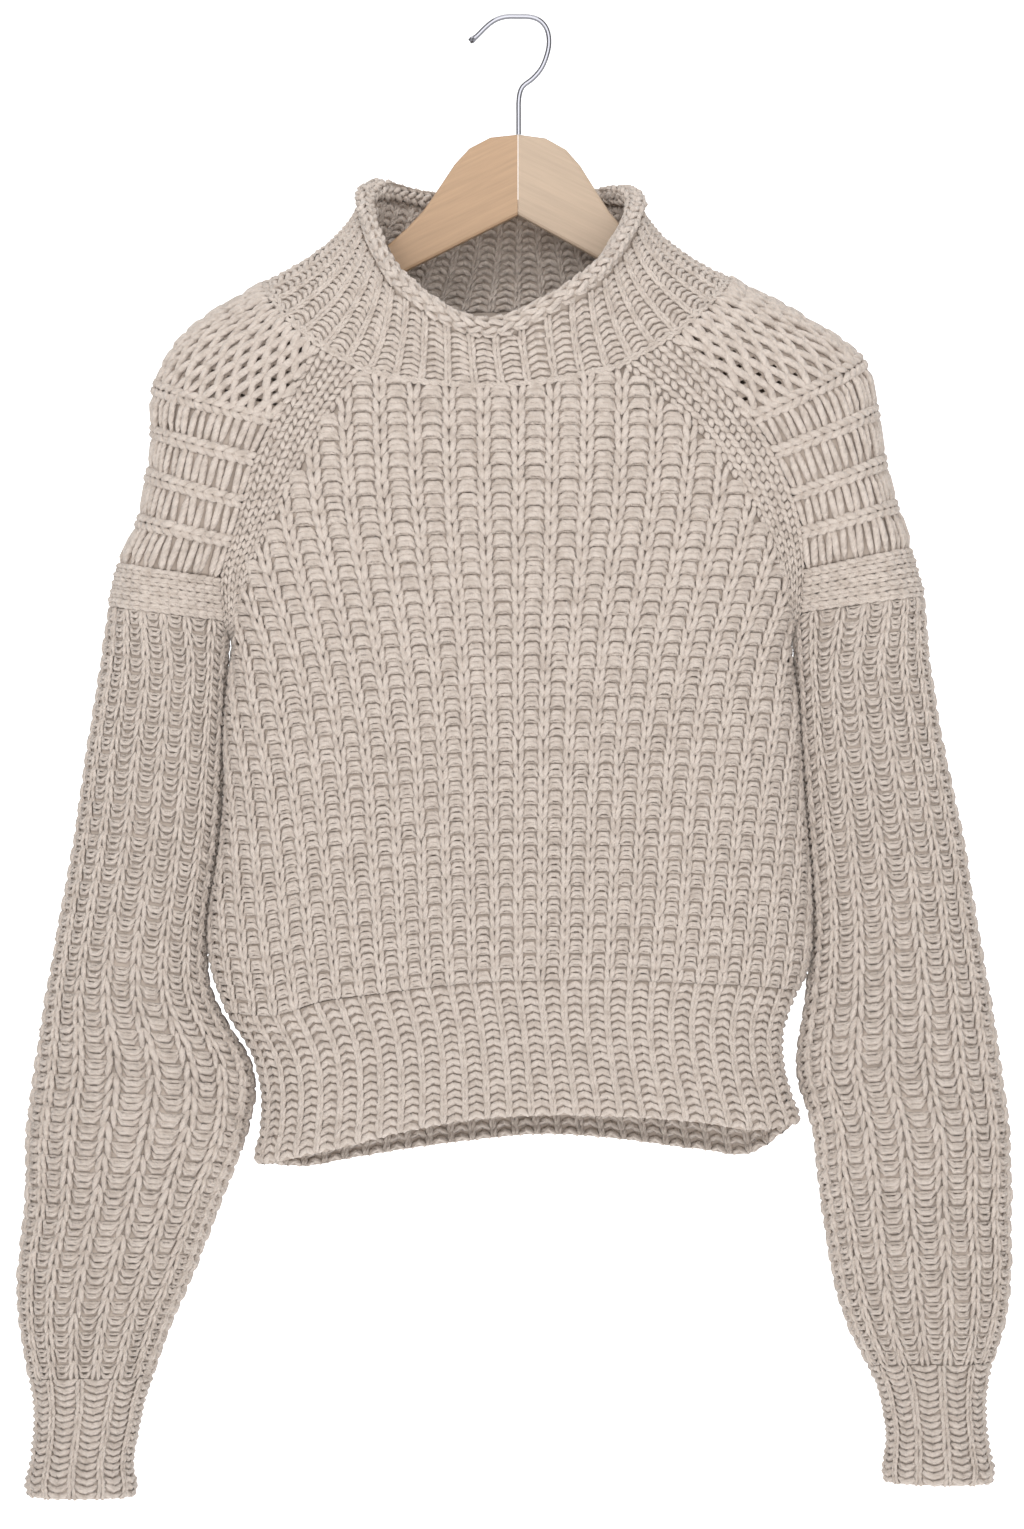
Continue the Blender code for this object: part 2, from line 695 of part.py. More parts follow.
def hanger_arm(side, finish):
    """Flat arm with rounded edges, square at the mitre in the middle."""
    outline = arm_outline(side)
    along = unit(np.roll(outline, -1, axis=0) - np.roll(outline, 1, axis=0))
    inward = np.stack([along[:, 1], -along[:, 0]], axis=-1)
    if side == "left":
        inward = -inward
    inward[0] = (0.0, -1.0)
    inward[-1] = (0.0, 1.0)
    half = ARM_THICKNESS / 2
    step = ARM_EDGE_ROUND * ARM_ROUND_STEP
    layers = [
        (-half, ARM_EDGE_ROUND), (-half + step, step), (-half + ARM_EDGE_ROUND, 0.0),
        (half - ARM_EDGE_ROUND, 0.0), (half - step, step), (half, ARM_EDGE_ROUND),
    ]
    mesh = bmesh.new()
    loops = []
    for y, shrink in layers:
        flat = outline + inward * shrink
        loops.append([mesh.verts.new((x * MM, y * MM, z * MM)) for x, z in flat])
    for lower, upper in zip(loops, loops[1:]):
        for k in range(len(lower)):
            n = (k + 1) % len(lower)
            mesh.faces.new([lower[k], lower[n], upper[n], upper[k]])
    mesh.faces.new(loops[0])
    mesh.faces.new(loops[-1])
    bmesh.ops.triangulate(mesh, faces=[f for f in mesh.faces if len(f.verts) > 4])
    bmesh.ops.recalc_face_normals(mesh, faces=mesh.faces)
    return add_object("hanger_arm_" + side, mesh, finish)


def hook(finish):
    """Bent wire with a small ball at its free end, swept along a smooth route."""
    indexed = np.column_stack([np.arange(len(HOOK_ROUTE)), HOOK_ROUTE])
    places = np.linspace(0, len(HOOK_ROUTE) - 1, (len(HOOK_ROUTE) - 1) * HOOK_STEPS + 1)
    x = smooth(indexed, 1, places)
    z = smooth(indexed, 2, places)
    # The drawn line is the wire's middle, so it is shifted to put the inner top at zero
    route = np.stack([x, z + WIRE_RADIUS - float(np.max(z))], axis=-1)
    route[0, 1] = HOOK_ROUTE[0, 1] + WIRE_SEAT_GAP
    radius = np.full(len(route), WIRE_RADIUS)
    radius[-3:] = HOOK_BALL_RADII
    along = unit(np.gradient(route, axis=0))
    along[0] = (0.0, 1.0)
    across = np.stack([along[:, 1], -along[:, 0]], axis=-1)
    mesh = bmesh.new()
    rings = []
    for k in range(len(route)):
        ring = []
        for s in range(HOOK_SIDES):
            turn = 2 * math.pi * s / HOOK_SIDES
            px = route[k, 0] + across[k, 0] * radius[k] * math.cos(turn)
            pz = route[k, 1] + across[k, 1] * radius[k] * math.cos(turn)
            ring.append(mesh.verts.new((px * MM, radius[k] * math.sin(turn) * MM, pz * MM)))
        rings.append(ring)
    for lower, upper in zip(rings, rings[1:]):
        for s in range(HOOK_SIDES):
            n = (s + 1) % HOOK_SIDES
            mesh.faces.new([lower[s], lower[n], upper[n], upper[s]])
    mesh.faces.new(rings[0])
    mesh.faces.new(rings[-1])
    bmesh.ops.recalc_face_normals(mesh, faces=mesh.faces)
    return add_object("hook", mesh, finish)


def cloth_pieces():
    """Every knitted piece, with a point inside it that its outside faces away from."""
    body_middle = (-4, 0, -430)
    pieces = []
    for face in ("front", "back"):
        pieces.append(Piece(face, body_panel(face), False, body_middle, "body"))
        pieces.append(Piece("hem_rib_" + face, hem_panel(face), False, (0, 0, -650), "rib"))
    for side in ("left", "right"):
        sign = -1 if side == "left" else 1
        for face in ("front", "back"):
            name = "raglan_band_" + face + "_" + side
            pieces.append(Piece(name, raglan_band(face, side), False, (sign * 110, 0, -310), "band"))
        pieces.append(Piece("yoke_" + side, yoke(side), False, (sign * 150, 0, -260), "yoke"))
        pieces.append(Piece("welt_" + side, welt(side), False, (sign * 200, 0, -355), "band",
                            FOLD_HALF_GAP))
        pieces.append(Piece("sleeve_" + side, sleeve(side), True, (sign * 235, 3, -600), "body"))
        pieces.append(Piece("cuff_" + side, cuff(side), True, (sign * 265, 3, -875), "rib"))
    pieces.append(Piece("collar", collar(), True, (-11, -2, -160), "rib"))
    return pieces


def main():
    for old in list(bpy.data.objects):
        bpy.data.objects.remove(old, do_unlink=True)
    yarn = {
        "body": material("knit_body", (0.56, 0.49, 0.43), 0.95),
        "rib": material("knit_rib", (0.58, 0.51, 0.45), 0.95),
        "band": material("knit_band", (0.52, 0.45, 0.39), 0.95),
        "yoke": material("knit_openwork", (0.54, 0.47, 0.41), 0.95),
    }
    left_wood = material("beech_left", (0.62, 0.42, 0.27), 0.5)
    right_wood = material("beech_right", (0.70, 0.52, 0.38), 0.5)
    chrome = material("chrome", (0.75, 0.76, 0.78), 0.12, 1.0)
    pieces = cloth_pieces()
    blend_seams(pieces)
    for piece in pieces:
        add_object(piece.name, wall_mesh(piece), yarn[piece.colour])
    hanger_arm("left", left_wood)
    hanger_arm("right", right_wood)
    hook(chrome)


main()
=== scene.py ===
"""Chunky ribbed pullover with a rolled funnel neck, on a wooden clothes hanger.

Every piece of cloth is a thin wall with its yarn laid on it, strand by strand. The
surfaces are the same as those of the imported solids: the origin is the inner top of the
hook, +Z is up, the front faces -Y, and sizes are in millimetres until a mesh is made.
"""

import math

import bpy
import numpy as np
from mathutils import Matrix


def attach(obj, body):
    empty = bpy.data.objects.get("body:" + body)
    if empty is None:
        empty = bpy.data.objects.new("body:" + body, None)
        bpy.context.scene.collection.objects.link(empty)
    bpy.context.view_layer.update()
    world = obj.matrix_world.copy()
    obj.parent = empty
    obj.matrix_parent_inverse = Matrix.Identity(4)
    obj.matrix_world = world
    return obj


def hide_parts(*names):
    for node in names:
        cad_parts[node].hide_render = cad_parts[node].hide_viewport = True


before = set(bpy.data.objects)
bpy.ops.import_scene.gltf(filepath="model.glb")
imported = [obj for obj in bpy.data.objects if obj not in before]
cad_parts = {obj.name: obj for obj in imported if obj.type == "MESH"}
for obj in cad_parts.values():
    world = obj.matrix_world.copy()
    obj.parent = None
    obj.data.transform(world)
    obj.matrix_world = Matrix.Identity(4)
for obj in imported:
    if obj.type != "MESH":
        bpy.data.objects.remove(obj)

bl_info = {
    "name": "Chunky knitted sweater on a hanger",
    "version": (1, 0, 0),
    "blender": (4, 2, 0),
    "location": "3D View > Sidebar > Sweater",
    "description": "Lays the yarn of a chunky sweater on its packed solids and sets the stage",
    "category": "Object",
}

MM = 0.001
WALL_TOP = -0.9         # outer side of the cloth under its yarn
WALL_BOTTOM = -4.2      # inner side of the cloth
SIDE_POWER = 2.4        # roundness of the body's side edges
SLEEVE_SETBACK = 3.0
ARMPIT_Z = -385.0
EDGE_SPREAD_ABOVE_ARMPIT = 0.25
NECK_FIRST = 16
NECK_LAST = 32
BAND_ROWS = 16
WELT_BOTTOM = 2
WELT_TOP = 4
YOKE_COLUMNS = 14
COLLAR_BAND_COLUMNS = 4
UNDERARM_HALF_ANGLE = 30.0
UNDERARM_DROP = 0.9
UNDERARM_SHIFT = 0.6
BACK_DEPTH_SHARE = 0.93
SIDE_STRIP = 8.0        # smooth strip along each side seam
SIDE_STITCH = 0.7       # height and width of a stitch in the side strips, against a usual one
SIDE_STRIP_REACH = 12.0  # how far the side strips run on above the armpits
EDGE_MARGIN = 1.2       # how far stitches reach over the raglan and neck seams
PANEL_STEPS = 40        # steps of the wall under the front and back
PANEL_EASE = 1.1        # draws those steps together towards the hem
PANEL_FINE = 2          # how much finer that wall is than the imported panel
HEM_COLUMNS = 96
HEM_INSIDE_ROWS = 6     # rows of the back hem that show inside its edge

# Side edges of the body, seen from the front
BODY_EDGES = np.array([
    # z, left x, right x
    (-618.0, -178.0, 166.0),
    (-602.0, -184.0, 172.0),
    (-587.0, -189.0, 179.0),
    (-560.0, -191.0, 181.0),
    (-528.0, -186.0, 180.0),
    (-484.0, -181.0, 176.0),
    (-435.0, -181.0, 173.0),
    (-385.0, -175.0, 167.0),
])

# Side edges of the hem rib
HEM_EDGES = np.array([
    # share of the way up, left x, right x
    (0.00, -161.0, 173.0),
    (0.20, -158.0, 168.0),
    (0.45, -157.0, 163.0),
    (0.70, -162.0, 163.0),
    (1.00, -179.0, 172.0),
])

# Depth of the body in front of and behind the hanger's plane
BODY_DEPTHS = np.array([
    # z, front, back
    (-720.0, 51.0, 45.0),
    (-690.0, 50.0, 44.0),
    (-640.0, 45.0, 41.0),
    (-605.0, 43.5, 40.0),
    (-585.0, 47.0, 42.0),
    (-560.0, 49.5, 44.0),
    (-500.0, 47.0, 43.0),
    (-430.0, 46.0, 42.0),
    (-170.0, 46.0, 42.0),
])

# Lower edges and seam of the hem rib
HEM_LINES = np.array([
    # share of the half width, front edge z, back edge z, seam z
    (-1.00, -709.0, -709.0, -616.0),
    (-0.83, -703.0, -712.0, -617.0),
    (-0.68, -697.0, -708.0, -609.0),
    (-0.45, -687.0, -702.0, -603.0),
    (-0.22, -680.0, -697.0, -598.0),
    (0.05, -677.0, -693.0, -595.0),
    (0.35, -678.0, -696.0, -595.0),
    (0.65, -682.0, -702.0, -597.0),
    (0.85, -687.0, -703.0, -599.0),
    (1.00, -684.0, -684.0, -602.0),
])

# Raglan seams and shoulder line, from the armpit to the neck
SHOULDER_COLUMNS = ("share", "front_in_x", "front_in_z", "front_out_x", "front_out_z",
                    "ridge_x", "ridge_z", "back_in_x", "back_in_z", "back_out_x", "back_out_z")
SHOULDERS = {
    "left": np.array([
        (0.000, -175, -385, -179, -385, -256, -390, -175, -385, -179, -385),
        (0.125, -170, -362, -182, -373, -252, -364, -170, -360, -182, -371),
        (0.250, -163, -340, -184, -347, -246, -338, -166, -334, -184, -345),
        (0.375, -154, -319, -177, -324, -234, -311, -157, -307, -179, -318),
        (0.500, -143, -298, -170, -300, -228, -282, -148, -280, -173, -289),
        (0.625, -133, -278, -162, -274, -225, -255, -138, -254, -166, -262),
        (0.750, -122, -258, -151, -250, -224, -228, -127, -228, -156, -236),
        (0.875, -109, -239, -137, -228, -201, -194, -116, -203, -145, -206),
        (1.000, -93, -222, -125, -205, -157, -167, -104, -178, -131, -174),
    ], dtype=float),
    "right": np.array([
        (0.000, 167, -385, 171, -385, 254, -386, 167, -385, 171, -385),
        (0.125, 165, -359, 175, -368, 250, -358, 166, -360, 175, -368),
        (0.250, 160, -335, 177, -342, 242, -329, 163, -335, 178, -345),
        (0.375, 149, -311, 175, -319, 233, -302, 155, -309, 175, -316),
        (0.500, 136, -290, 169, -296, 226, -274, 146, -282, 170, -288),
        (0.625, 121, -269, 157, -270, 221, -243, 133, -255, 159, -260),
        (0.750, 104, -250, 144, -249, 212, -212, 119, -229, 146, -233),
        (0.875, 84, -233, 122, -221, 174, -186, 98, -202, 128, -203),
        (1.000, 64, -218, 97, -199, 130, -164, 76, -175, 107, -172),
    ], dtype=float),
}

# Depth of the raglan's outer edges and extra fullness of the sleeve head beyond them
SHOULDER_DEPTHS = np.array([
    # share, outer edge depth, fullness
    (0.000, 0.0, 24.0),
    (0.125, 10.0, 22.0),
    (0.250, 16.0, 19.0),
    (0.375, 24.0, 14.0),
    (0.500, 31.0, 10.0),
    (0.625, 36.0, 7.0),
    (0.750, 40.0, 4.0),
    (0.875, 42.5, 1.0),
    (1.000, 44.0, 0.0),
])

# Sleeve sections from just under the armpit to the cuff seam
SLEEVES = {
    "left": np.array([
        # outer x, outer z, inner x, inner z, half depth
        (-257, -399, -181.5, -402, 28),
        (-266, -453, -183.6, -455, 29),
        (-274, -509, -186.6, -511, 30),
        (-283, -559, -193.4, -562, 31),
        (-291, -605, -191.5, -605, 32),
        (-298, -652, -166, -652, 33),
        (-303, -689, -170, -689, 33),
        (-304, -732, -186, -732, 32),
        (-309, -779, -203, -777, 30),
        (-308, -808, -216, -807, 29),
        (-302, -843, -228, -841, 26),
    ], dtype=float),
    "right": np.array([
        (254, -399, 173, -402, 28),
        (263, -453, 176.2, -455, 29),
        (275, -509, 180.6, -511, 30),
        (283, -559, 183.6, -562, 31),
        (291, -605, 180.5, -605, 32),
        (298, -652, 175, -652, 33),
        (303, -689, 185, -689, 33),
        (304, -732, 190, -732, 32),
        (304, -779, 197, -777, 30),
        (301, -807, 205, -807, 29),
        (293, -833, 218, -834, 26),
    ], dtype=float),
}

# Cuff sections from the seam to the rolled end, with the roll's bulge
CUFFS = {
    "left": np.array([
        # outer x, outer z, inner x, inner z, half depth, bulge
        (-302, -843, -228, -841, 26, 0.0),
        (-299, -858, -233, -857, 24, 0.0),
        (-299, -872, -236, -871, 23, 0.0),
        (-300, -886, -239, -886, 23, 0.0),
        (-301, -898, -241, -898, 23, 0.8),
        (-302, -909, -240, -909, 24, 2.6),
        (-301, -916, -241, -916, 23, 0.6),
    ], dtype=float),
    "right": np.array([
        (293, -833, 218, -834, 26, 0.0),
        (290, -848, 225, -848, 24, 0.0),
        (289, -862, 228, -862, 23, 0.0),
        (290, -876, 230, -876, 23, 0.0),
        (291, -889, 230, -889, 23, 0.8),
        (292, -901, 230, -900, 24, 2.6),
        (291, -908, 230, -907, 23, 0.6),
    ], dtype=float),
}

# Rim of the collar, by angle round the neck: left 0, front 90, right 180, back 270
COLLAR_RIM = np.array([
    # angle, x, z
    (0, -92, -106),
    (30, -87, -131),
    (60, -68, -164),
    (90, -19, -192),
    (120, 38, -163),
    (150, 62, -134),
    (180, 70, -110),
    (210, 60, -103),
    (240, 37, -105),
    (270, -8, -109),
    (300, -58, -104),
    (330, -82, -99),
    (360, -92, -106),
], dtype=float)
RIM_FRONT_DEPTH = 52.0
RIM_BACK_DEPTH = 46.0
NECK_FRONT_SAG = 10.0
NECK_BACK_SAG = 3.0
FLARE_WIDTH_SHARE = 0.20
FLARE_HEIGHT_SHARE = 0.55
COLLAR_BULGE = np.array([
    # share of the way up, bulge of the rolled rim
    (0.00, 0.0),
    (0.68, 0.0),
    (0.79, 1.0),
    (0.87, 4.5),
    (0.93, 6.0),
    (0.98, 4.0),
    (1.00, 0.5),
])

# Spacing of the body's ribs, which fan out towards the neck
RIB_SPACING = np.array([
    # z, spacing
    (-610.0, 13.9),
    (-410.0, 16.7),
    (-300.0, 20.6),
    (-170.0, 21.4),
])
HEM_RIB_SPACING = 13.9
BODY_ROW = 8.4          # height of a stitch row
BODY_TOP = {"front": -212.0, "back": -172.0}
PANEL_FLAT = {"front": (0.43, 0.385), "back": (0.43, 0.43)}    # width and length in metres
HEM_BULGE = np.array([
    # share of the way up, bulge of the rolled edge
    (0.00, 0.2),
    (0.03, 1.4),
    (0.09, 1.8),
    (0.16, 0.4),
    (1.00, 0.0),
])
YARN_SIDES = 5          # sides of a strand's section
COARSE_SIDES = 4        # the same on the back, sleeves and cuffs, which have the most strands
RIB_REACH = 18          # ribs laid out on each side of the middle before they are cut off
RIB_STEPS = 4           # grid columns to a rib
HEM_ROWS = 17
BAND_ROPES = 8
BAND_STITCHES = 36
SLEEVE_RIBS = 18
SLEEVE_ROWS = 48
CUFF_RIBS = 11
CUFF_ROWS = 17
COLLAR_RIBS = 44
COLLAR_STEPS = 26
COLLAR_ROW = 3.9
ROLL_START = 0.80       # share of the collar's height where its rolled rim begins
ROLL_MIDDLE = 0.93      # share of the collar's height at the middle of the roll
ROLL_LOOPS = 72         # strands round the neck in each line of the roll
ROLL_LINES = np.arange(-60, 230, 44)    # degrees round the roll
ROLL_SLANT = 40
ROLL_REACH = 4.5        # from the middle of the roll to its strands
NECK_CHAIN_LOOPS = 120
YOKE_LOOP = 10.2        # width of an openwork loop
YOKE_RIDGES = (0.375, 0.5, 0.625, 0.75)
YOKE_NET_ROWS = 7
YOKE_GRID = (90, 120)   # rows and columns of the wall under the yoke
YOKE_HOLE = (1.5, 0.8)  # half of a hole: millimetres along a row, grid rows up
YOKE_RIDGE_LOOPS = 1.7  # loops of a ridge to one drop stitch
WELT_RIDGES = 5
WELT_LOOPS = 30
SWEEP_HALF_WIDTH = 14.0    # the sweep of the backdrop is in metres
SWEEP_FLOOR = -3.4
SWEEP_BACK = 12.0
SWEEP_TOP = 7.0
SWEEP_BEND = 1.2
SWEEP_STEPS = 8

# Strands in cell coordinates: across in ribs, up in rows, millimetres off the cloth, radius
KNIT_LEG = np.array([
    (0.030, -0.20, -0.5, 1.1),
    (0.075, 0.20, 1.0, 1.75),
    (0.125, 0.66, 1.1, 1.8),
    (0.145, 1.10, -0.3, 1.2),
])
PURL_BARS = np.array([
    [(0.16, 0.02, -1.0, 1.1), (0.36, 0.41, 0.8, 1.9), (0.64, 0.41, 0.8, 1.9), (0.84, 0.02, -1.0, 1.1)],
    [(0.18, 0.38, -1.0, 1.1), (0.38, 0.78, 0.6, 1.8), (0.62, 0.78, 0.6, 1.8), (0.82, 0.38, -1.0, 1.1)],
    [(0.22, 0.12, -0.9, 1.0), (0.42, 0.14, -0.5, 1.3), (0.58, 0.14, -0.5, 1.3), (0.78, 0.12, -0.9, 1.0)],
])
FINE_LEG = np.array([
    (0.030, -0.25, -0.4, 1.0),
    (0.070, 0.45, 0.9, 1.4),
    (0.085, 1.15, -0.1, 1.1),
])
FINE_CHEVRON = np.array([
    (0.13, 0.00, -0.7, 1.3),
    (0.32, 0.36, 0.2, 2.05),
    (0.53, 0.62, 0.0, 1.9),
])
BAND_STRAND = np.array([
    (0.16, -0.16, -1.4, 0.8),
    (0.36, 0.26, 0.5, 1.85),
    (0.60, 0.68, 0.8, 1.95),
    (0.84, 1.14, -1.4, 0.8),
])

# Drop stitches and net of the yoke, in the same way
DROP_STITCH = np.array([
    (0.18, -0.15, -1.0, 1.2),
    (0.22, 0.25, 0.7, 2.2),
    (0.27, 0.75, 0.7, 2.2),
    (0.33, 1.15, -1.0, 1.2),
])
NET_STITCH = np.array([
    (0.05, -0.28, -0.5, 1.6),
    (0.15, 0.20, 0.9, 2.5),
    (0.32, 0.75, 0.9, 2.5),
    (0.45, 1.28, -0.5, 1.6),
])

# Soft folds placed one by one
FOLD_STRENGTH = 1.8
FOLDS = np.array([
    # face (-1 front, 1 back), from x, from z, to x, to z, half width, height
    (-1, -150, -395, -70, -470, 17, -2.0),
    (-1, -158, -430, -95, -520, 19, 1.6),
    (-1, 142, -395, 72, -455, 16, -1.8),
    (-1, 152, -440, 98, -540, 20, 1.4),
    (-1, -40, -560, -22, -470, 24, 1.2),
    (-1, 60, -575, 48, -500, 22, -1.2),
    (-1, -250, -640, -185, -662, 13, -2.4),
    (-1, -262, -672, -190, -690, 14, 1.8),
    (-1, -286, -735, -225, -715, 15, -1.8),
    (-1, 245, -640, 190, -668, 13, -2.2),
    (-1, 262, -690, 200, -712, 14, 1.6),
    (-1, 288, -742, 232, -722, 15, -1.8),
    (-1, -270, -838, -262, -800, 7, -1.8),
    (-1, -245, -838, -240, -806, 6, 1.4),
    (-1, 250, -830, 246, -795, 7, -1.8),
    (-1, 274, -828, 272, -798, 6, 1.4),
    (-1, -222, -420, -215, -520, 12, -1.4),
    (-1, 218, -410, 214, -510, 12, -1.4),
    (1, -140, -400, -60, -480, 18, -2.0),
    (1, 135, -400, 66, -470, 18, -1.8),
    (1, -30, -565, -12, -480, 24, 1.3),
    (1, 85, -560, 70, -490, 20, 1.2),
    (1, -255, -650, -190, -668, 14, -2.2),
    (1, -282, -730, -222, -712, 15, 1.6),
    (1, 250, -648, 192, -670, 14, -2.2),
    (1, 284, -738, 230, -718, 15, 1.6),
    (1, -262, -836, -256, -800, 7, -1.6),
    (1, 258, -828, 252, -796, 7, -1.6),
], dtype=float)


def fold_height(points, normals):
    """Height of the soft folds at points, for the side of the cloth that they face."""
    height = np.zeros(points.shape[:-1])
    x, z = points[..., 0], points[..., 2]
    for face, x0, z0, x1, z1, width, depth in FOLDS:
        along = np.array([x1 - x0, z1 - z0])
        t = np.clip(((x - x0) * along[0] + (z - z0) * along[1]) / along.dot(along), 0.0, 1.0)
        distance = np.hypot(x - x0 - t * along[0], z - z0 - t * along[1])
        facing = np.clip(normals[..., 1] * face, 0.0, 1.0)
        height += FOLD_STRENGTH * depth * np.exp(-(distance / width) ** 2) * facing
    return height


def smooth(table, column, where):
    """Read one column of a table at the places given, along a smooth curve."""
    x = table[:, 0]
    y = table[:, column]
    slope = np.gradient(y, x)
    where = np.clip(np.asarray(where, dtype=float), x[0], x[-1])
    k = np.clip(np.searchsorted(x, where, side="right") - 1, 0, len(x) - 2)
    h = x[k + 1] - x[k]
    t = (where - x[k]) / h
    a = (1 + 2 * t) * (1 - t) ** 2
    b = t * (1 - t) ** 2 * h
    c = t * t * (3 - 2 * t)
    d = t * t * (t - 1) * h
    return a * y[k] + b * slope[k] + c * y[k + 1] + d * slope[k + 1]


def unit(vectors):
    """The same directions with length one."""
    length = np.linalg.norm(vectors, axis=-1, keepdims=True)
    return vectors / np.maximum(length, 1e-9)


def body_edges(z):
    """Left and right edges of the body at a height; they spread above the armpits."""
    rise = np.maximum(z - ARMPIT_Z, 0.0) * EDGE_SPREAD_ABOVE_ARMPIT
    return smooth(BODY_EDGES, 1, z) - rise, smooth(BODY_EDGES, 2, z) + rise


def body_depth(face, share, z):
    """Depth of the body's front or back at a share of its half width."""
    column = 1 if face == "front" else 2
    round_off = np.maximum(1 - np.abs(share) ** SIDE_POWER, 0.0) ** (1 / SIDE_POWER)
    sign = -1.0 if face == "front" else 1.0
    return sign * smooth(BODY_DEPTHS, column, z) * round_off


def on_body(face, x, z):
    """A point of the body's front or back surface."""
    left, right = body_edges(z)
    share = np.clip((2 * x - left - right) / (right - left), -1.0, 1.0)
    return np.stack([x, body_depth(face, share, z), z], axis=-1)


def raglan_inner(face, side, share):
    """The raglan band's edge on the body."""
    column = SHOULDER_COLUMNS.index(face + "_in_x")
    x = smooth(SHOULDERS[side], column, share)
    z = smooth(SHOULDERS[side], column + 1, share)
    return on_body(face, x, z)


def raglan_outer(face, side, share):
    """The raglan band's edge on the shoulder."""
    column = SHOULDER_COLUMNS.index(face + "_out_x")
    x = smooth(SHOULDERS[side], column, share)
    z = smooth(SHOULDERS[side], column + 1, share)
    depth = smooth(SHOULDER_DEPTHS, 1, share)
    y = -depth if face == "front" else depth * BACK_DEPTH_SHARE
    return np.stack([x, y, z], axis=-1)


def neck_edge(face, count):
    """The neck seam of the front or back between its raglan corners, left to right."""
    left = raglan_inner(face, "left", np.array([1.0]))[0]
    right = raglan_inner(face, "right", np.array([1.0]))[0]
    sag = NECK_FRONT_SAG if face == "front" else NECK_BACK_SAG
    t = np.linspace(0.0, 1.0, count + 1)
    x = left[0] + (right[0] - left[0]) * t
    z = left[2] + (right[2] - left[2]) * t - sag * (1 - (2 * t - 1) ** 2)
    return on_body(face, x, z)


def panel_grid(face, fine):
    """Front or back as one grid from the hem seam to raglans and neck."""
    climb_columns = NECK_FIRST * fine
    neck_columns = (NECK_LAST - NECK_FIRST) * fine
    columns = 2 * climb_columns + neck_columns
    share = np.linspace(-1.0, 1.0, columns + 1)
    seam_z = smooth(HEM_LINES, 3, share)
    climb = np.linspace(0.0, 1.0, climb_columns + 1)
    top = np.concatenate([
        raglan_inner(face, "left", climb),
        neck_edge(face, neck_columns)[1:-1],
        raglan_inner(face, "right", climb[::-1]),
    ])
    left, right = body_edges(top[:, 2])
    top_share = (2 * top[:, 0] - left - right) / (right - left)
    top_share[0] = -1.0
    top_share[-1] = 1.0
    points = []
    for step in np.linspace(0.0, 1.0, PANEL_STEPS) ** PANEL_EASE:
        z = seam_z + (top[:, 2] - seam_z) * step
        s = share + (top_share - share) * step
        left, right = body_edges(z)
        x = (left + right) / 2 + s * (right - left) / 2
        points.append(np.stack([x, body_depth(face, s, z), z], axis=-1))
    return np.array(points)


def row_curve(face, seam_z, lift, left_right, count=240):
    """A stitch row from side seam to side seam: points closely spaced round the body."""
    turn = np.linspace(-math.pi / 2, math.pi / 2, count + 1)
    share = np.sign(np.sin(turn)) * np.abs(np.sin(turn)) ** (2 / SIDE_POWER)
    z = lift(smooth(HEM_LINES, seam_z, share), share)
    left, right = left_right(z)
    x = (left + right) / 2 + share * (right - left) / 2
    return np.stack([x, body_depth(face, share, z), z], axis=-1)


def body_rows(face):
    """The panel's stitch rows with its ribs as columns, and the seam's cells at each side."""
    top = BODY_TOP[face]
    count = int(round((top + 600.0) / BODY_ROW))
    ribs = np.arange(-RIB_REACH * RIB_STEPS, RIB_REACH * RIB_STEPS + 1) / RIB_STEPS
    rows, sides = [], []
    for k in range(count + 1):
        step = k / count
        curve = row_curve(face, 3, lambda seam, s: seam + (top - seam) * step, body_edges)
        length = np.concatenate([[0.0], np.cumsum(np.linalg.norm(np.diff(curve, axis=0), axis=1))])
        length -= np.interp(0.0, curve[:, 0], length)
        spacing = float(smooth(RIB_SPACING, 1, np.mean(curve[:, 2])))
        want = ribs * spacing
        rows.append(np.stack([np.interp(want, length, curve[:, i]) for i in range(3)], axis=-1))
        sides.append((length[0] / spacing, length[-1] / spacing, spacing))
    return np.array(rows), np.array(sides)


def hem_rows(face):
    """Hem rib as stitch rows from its edge to the seam, its ribs in line with the body's."""
    edge = 1 if face == "front" else 2
    seam = row_curve(face, 3, lambda z, s: z, body_edges)
    length = np.concatenate([[0.0], np.cumsum(np.linalg.norm(np.diff(seam, axis=0), axis=1))])
    zero = np.interp(0.0, seam[:, 0], length)
    first = -zero / HEM_RIB_SPACING
    last = (length[-1] - zero) / HEM_RIB_SPACING
    columns = np.linspace(0.0, 1.0, HEM_COLUMNS + 1)
    rows = []
    for k in range(HEM_ROWS + 1):
        step = k / HEM_ROWS

        def left_right(z, step=step):
            return smooth(HEM_EDGES, 1, step), smooth(HEM_EDGES, 2, step)

        def lift(z, share, step=step):
            low = smooth(HEM_LINES, edge, share)
            return low + (z - low) * step

        curve = row_curve(face, 3, lift, left_right)
        length = np.concatenate([[0.0], np.cumsum(np.linalg.norm(np.diff(curve, axis=0), axis=1))])
        share = length / length[-1]
        rows.append(np.stack([np.interp(columns, share, curve[:, i]) for i in range(3)], axis=-1))
    return np.array(rows), first, last


def band_grid(face, side, rows, columns):
    """Raglan band from its inner to its outer edge."""
    share = np.linspace(0.0, 1.0, rows + 1)
    inner = raglan_inner(face, side, share)
    outer = raglan_outer(face, side, share)
    across = np.linspace(0.0, 1.0, columns + 1)[None, :, None]
    return inner[:, None, :] + (outer - inner)[:, None, :] * across


